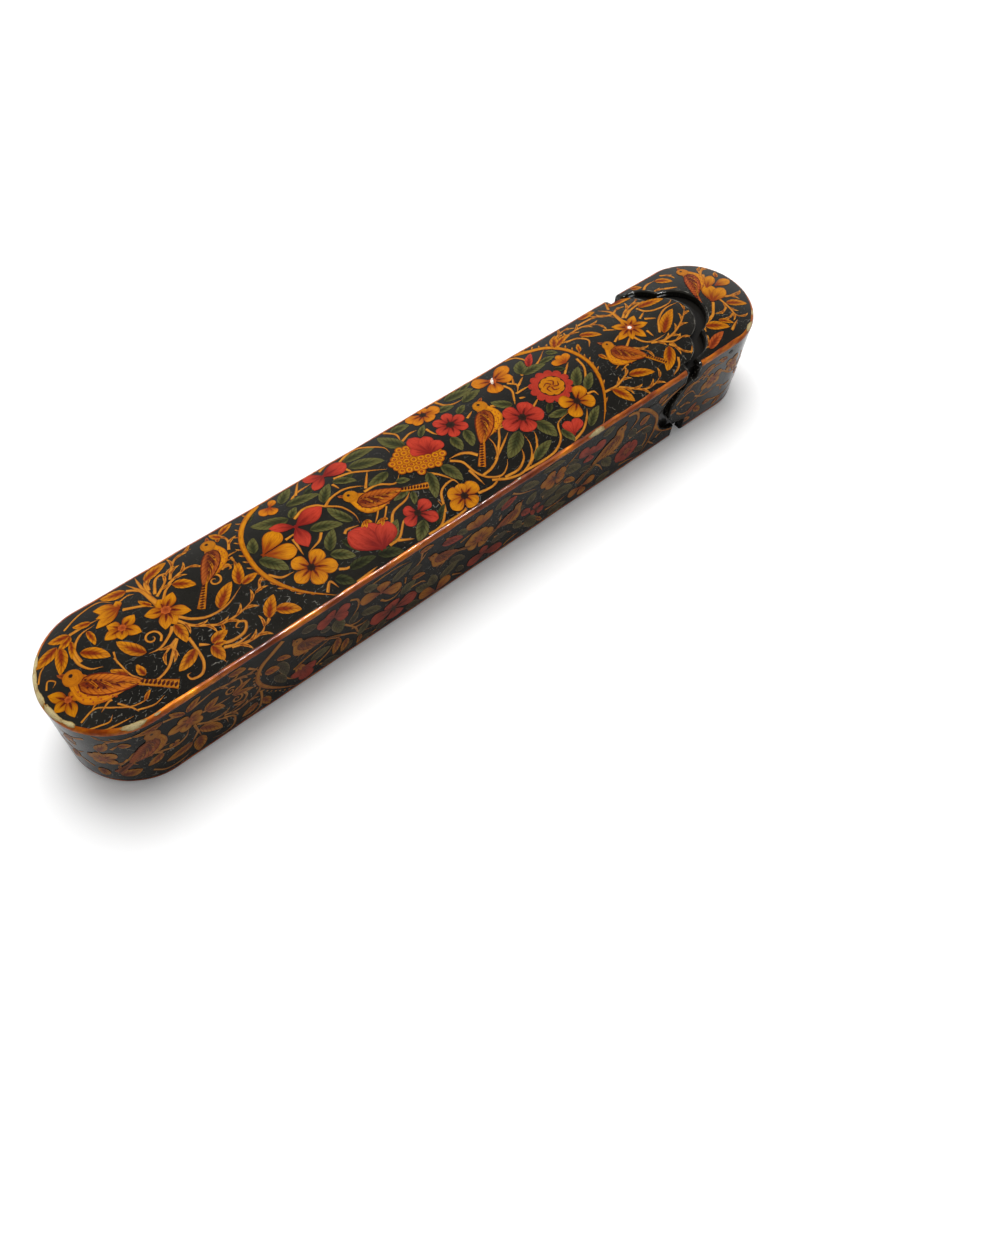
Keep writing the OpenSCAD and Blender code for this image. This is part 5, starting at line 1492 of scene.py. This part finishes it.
brass = finish("brass", (0.62, 0.40, 0.13), (0.20, 0.10, 0.03), 1.0, 0.16, 700.0, 900.0, 0.25)
steel = finish("steel", (0.46, 0.46, 0.47), (0.16, 0.14, 0.12), 1.0, 0.16, 120.0, 2600.0, 0.5)
reed = finish("reed", (0.42, 0.21, 0.07), (0.16, 0.06, 0.02), 0.0, 0.24, 60.0, 2200.0, 0.7)
bone = finish("bone", (0.74, 0.65, 0.46), (0.46, 0.34, 0.18), 0.0, 0.24, 220.0, 2400.0, 0.35)
FINISHES = {
    drawer_lacquer: ["drawer_tray", "drawer_tail"],
    brass: ["inkwell_tub", "inkwell_cover", "inkwell_lid", "penknife_ferrule", "water_ladle"],
    steel: ["inkwell_hinge_pin", "penknife_blade"],
    reed: ["reed_pen_broad", "reed_pen_fine"],
    bone: ["nibbing_plate", "penknife_handle"],
}
for material, names in FINISHES.items():
    for name in names:
        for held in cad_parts[name].material_slots:
            held.link, held.material = "OBJECT", material
    print(material.name, "on", names)

# %% [markdown]
# ## The ink wad
# A tuft of raw silk in the well holds the ink, so that a pen takes just enough. It is a lump of floss with threads
# that lie in loops on it. The lump is a swollen disc with an uneven top, and each thread is a thin tube along a loop.

# %% Silk
silk, tree = start("silk")
place = tree.node("TexCoord", out=3)
floss = noise(tree, stretched(place, 900.0, 2600.0, 900.0), 1.0, 5.0, 0.65, 1.2)
soaked = noise(tree, place, 200.0, 4.0, 0.6)
tone = mix(floss.step(0.4, 0.7) * (1 - soaked * 0.6), (0.008, 0.007, 0.007), (0.040, 0.035, 0.030))
bump = tree.node("Bump", None, {"Strength": 0.6, "Distance": 0.0002, "Height": floss})
close(tree, tree.node("BsdfPrincipled", None, {
    "Base Color": tone, "Roughness": 0.3 + floss * 0.35, "Normal": bump, "Sheen Weight": 0.25,
    "Coat Weight": soaked * 0.3,
}))
low, high = (np.array(corner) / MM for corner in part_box("ink_wad"))
middle, half = (low + high) / 2, (high - low) / 2
THREADS, THREAD_R, LUMP_TOP, LUMP_REACH = 26, 0.16, 0.86, 0.985
LUMP_RINGS, LUMP_SIDES, LOOP_STEPS, TUBE_SIDES = 14, 48, 40, 6


def lump(share, angle):
    """Points of the lump's top for shares of its reach and angles."""
    spread = 1 / (np.abs(np.cos(angle)) ** 4 + np.abs(np.sin(angle)) ** 4) ** 0.25
    x = middle[0] + LUMP_REACH * half[0] * share * spread * np.cos(angle)
    y = middle[1] + LUMP_REACH * half[1] * share * spread * np.sin(angle)
    uneven = 0.06 * np.sin(1.7 * x + 0.6 * y) + 0.05 * np.sin(2.3 * y - 0.9 * x + 1)
    height = (LUMP_TOP + uneven) * (1 - share ** 5) ** 0.5
    return np.stack([x, y, low[2] + 0.03 + 2 * half[2] * height], -1)


rings, turns = np.linspace(1, 0.02, LUMP_RINGS), np.linspace(0, 2 * math.pi, LUMP_SIDES + 1)[:-1]
share, angle = np.meshgrid(rings, turns, indexing="ij")
points = [lump(share, angle).reshape(-1, 3)]
count = len(turns)
faces = [(k * count + j, k * count + (j + 1) % count, (k + 1) * count + (j + 1) % count, (k + 1) * count + j)
         for k in range(len(rings) - 1) for j in range(count)]
faces += [tuple(range((len(rings) - 1) * count, len(rings) * count)), tuple(reversed(range(count)))]
loose = random.Random(14)
total = len(points[0])
for k in range(THREADS):
    start_share, drift, first = 0.25 + 0.6 * loose.random(), 0.14 * loose.random(), 6.3 * loose.random()
    angle = first + np.linspace(0, 2 * math.pi, LOOP_STEPS + 1)[:-1]
    share = np.clip(start_share + drift * np.sin(2 * angle + k) + 0.05 * np.sin(5 * angle), 0.1, 0.88)
    path = lump(share, angle) + np.array([0, 0, 0.05])
    way = np.roll(path, -1, 0) - np.roll(path, 1, 0)
    way = way / np.linalg.norm(way, axis=1)[:, None]
    aside = np.cross(way, [0, 0, 1.0])
    aside = aside / np.linalg.norm(aside, axis=1)[:, None]
    over = np.cross(aside, way)
    lean = np.linspace(0, 2 * math.pi, TUBE_SIDES + 1)[:-1][None, :, None]
    tube = path[:, None] + THREAD_R * (aside[:, None] * np.cos(lean) + over[:, None] * np.sin(lean))
    points.append(tube.reshape(-1, 3))
    for i in range(LOOP_STEPS):
        here, there = total + i * TUBE_SIDES, total + (i + 1) % LOOP_STEPS * TUBE_SIDES
        for j in range(TUBE_SIDES):
            beside = (j + 1) % TUBE_SIDES
            faces.append((here + j, here + beside, there + beside, there + j))
    total += LOOP_STEPS * TUBE_SIDES
wad_mesh = bpy.data.meshes.new("silk_wad")
wad_mesh.from_pydata((np.concatenate(points) * MM).tolist(), [], faces)
shape = bmesh.new()
shape.from_mesh(wad_mesh)
bmesh.ops.recalc_face_normals(shape, faces=shape.faces)
shape.to_mesh(wad_mesh)
shape.free()
wad_mesh.shade_smooth()
wad_mesh.materials.append(silk)
wad = add_object("silk_wad", wad_mesh)
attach(wad, "drawer")
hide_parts("ink_wad")
print("silk wad", np.round(low, 1).tolist(), "to", np.round(high, 1).tolist(), "mm with", THREADS, "threads")

# %% [markdown]
# ## The studio
# The box lies on a white sweep. Most of the light comes from above and from the far side,
# so the top is bright, the near side is dim and a soft shadow lies in front of the box.

# %% Floor and light
FLOOR_SIZE = 6.0
SKY_DIM, SKY_BRIGHT = (0.20, 0.20, 0.20), (0.85, 0.85, 0.85)
floor_mesh = bpy.data.meshes.new("floor")
floor_mesh.from_pydata([(-FLOOR_SIZE, -FLOOR_SIZE, 0), (FLOOR_SIZE, -FLOOR_SIZE, 0), (FLOOR_SIZE, FLOOR_SIZE, 0),
                        (-FLOOR_SIZE, FLOOR_SIZE, 0)], [], [(0, 1, 2, 3)])
floor = add_object("floor", floor_mesh)
floor_white, tree = start("floor_white")
sheen = tree.node("BsdfDiffuse", None, {"Color": (0.86, 0.86, 0.86, 1)})
glow = tree.node("Emission", None, {"Color": (1, 1, 1, 1), "Strength": 0.12})
path = tree.node("LightPath")
seen = tree.math("MAXIMUM", tree.math("MAXIMUM", path, tree.node("LightPath", out=3)), tree.node("LightPath", out=6))
dark = tree.node("Emission", None, {"Strength": 0.0})
extra = tree.node("MixShader", None, {0: seen, 1: dark, 2: glow})
close(tree, tree.node("AddShader", None, {0: sheen, 1: extra}))
floor_mesh.materials.append(floor_white)

world = bpy.data.worlds.new("studio")
world.use_nodes = True
world.node_tree.nodes.clear()
sky = Wire(world.node_tree)
direction = sky.node("TexCoord", out=0)
facing = sky.node("VectorMath", {"operation": "DOT_PRODUCT"}, {0: direction, 1: (0.55, 0.84, 0.0)}, out=1)
height = sky.node("SeparateXYZ", None, {0: direction}, out=2)
glow_share = facing.step(-0.3, 0.8) * (1 - height.step(0.35, 0.85))
path = sky.node("LightPath")
lit = sky.node("Background", None, {"Color": mix(glow_share, SKY_DIM, SKY_BRIGHT), "Strength": 1.0})
white = sky.node("Background", None, {"Color": (1, 1, 1, 1), "Strength": 1.0})
sky.node("OutputWorld", None, {"Surface": sky.node("MixShader", None, {0: path, 1: lit, 2: white})})
bpy.context.scene.world = world


def softbox(name, place, length, width, power, aim=(0, 0, 0.02)):
    """A soft lamp that looks at the box."""
    lamp = bpy.data.lights.new(name, "AREA")
    lamp.shape, lamp.size, lamp.size_y, lamp.energy = "RECTANGLE", length, width, power
    piece = add_object(name, lamp)
    piece.location = place
    piece.rotation_euler = (Vector(aim) - Vector(place)).to_track_quat("-Z", "Y").to_euler()
    return piece


key_lamp = softbox("key_lamp", (0.15, 0.35, 1.15), 0.8, 0.8, 17.0)
key_lamp.visible_glossy = False
edge_lamp = softbox("edge_lamp", (0.17, -0.48, 0.52), 0.30, 0.07, 16.0)
edge_lamp.visible_diffuse = False
print("floor, world and lamps placed")
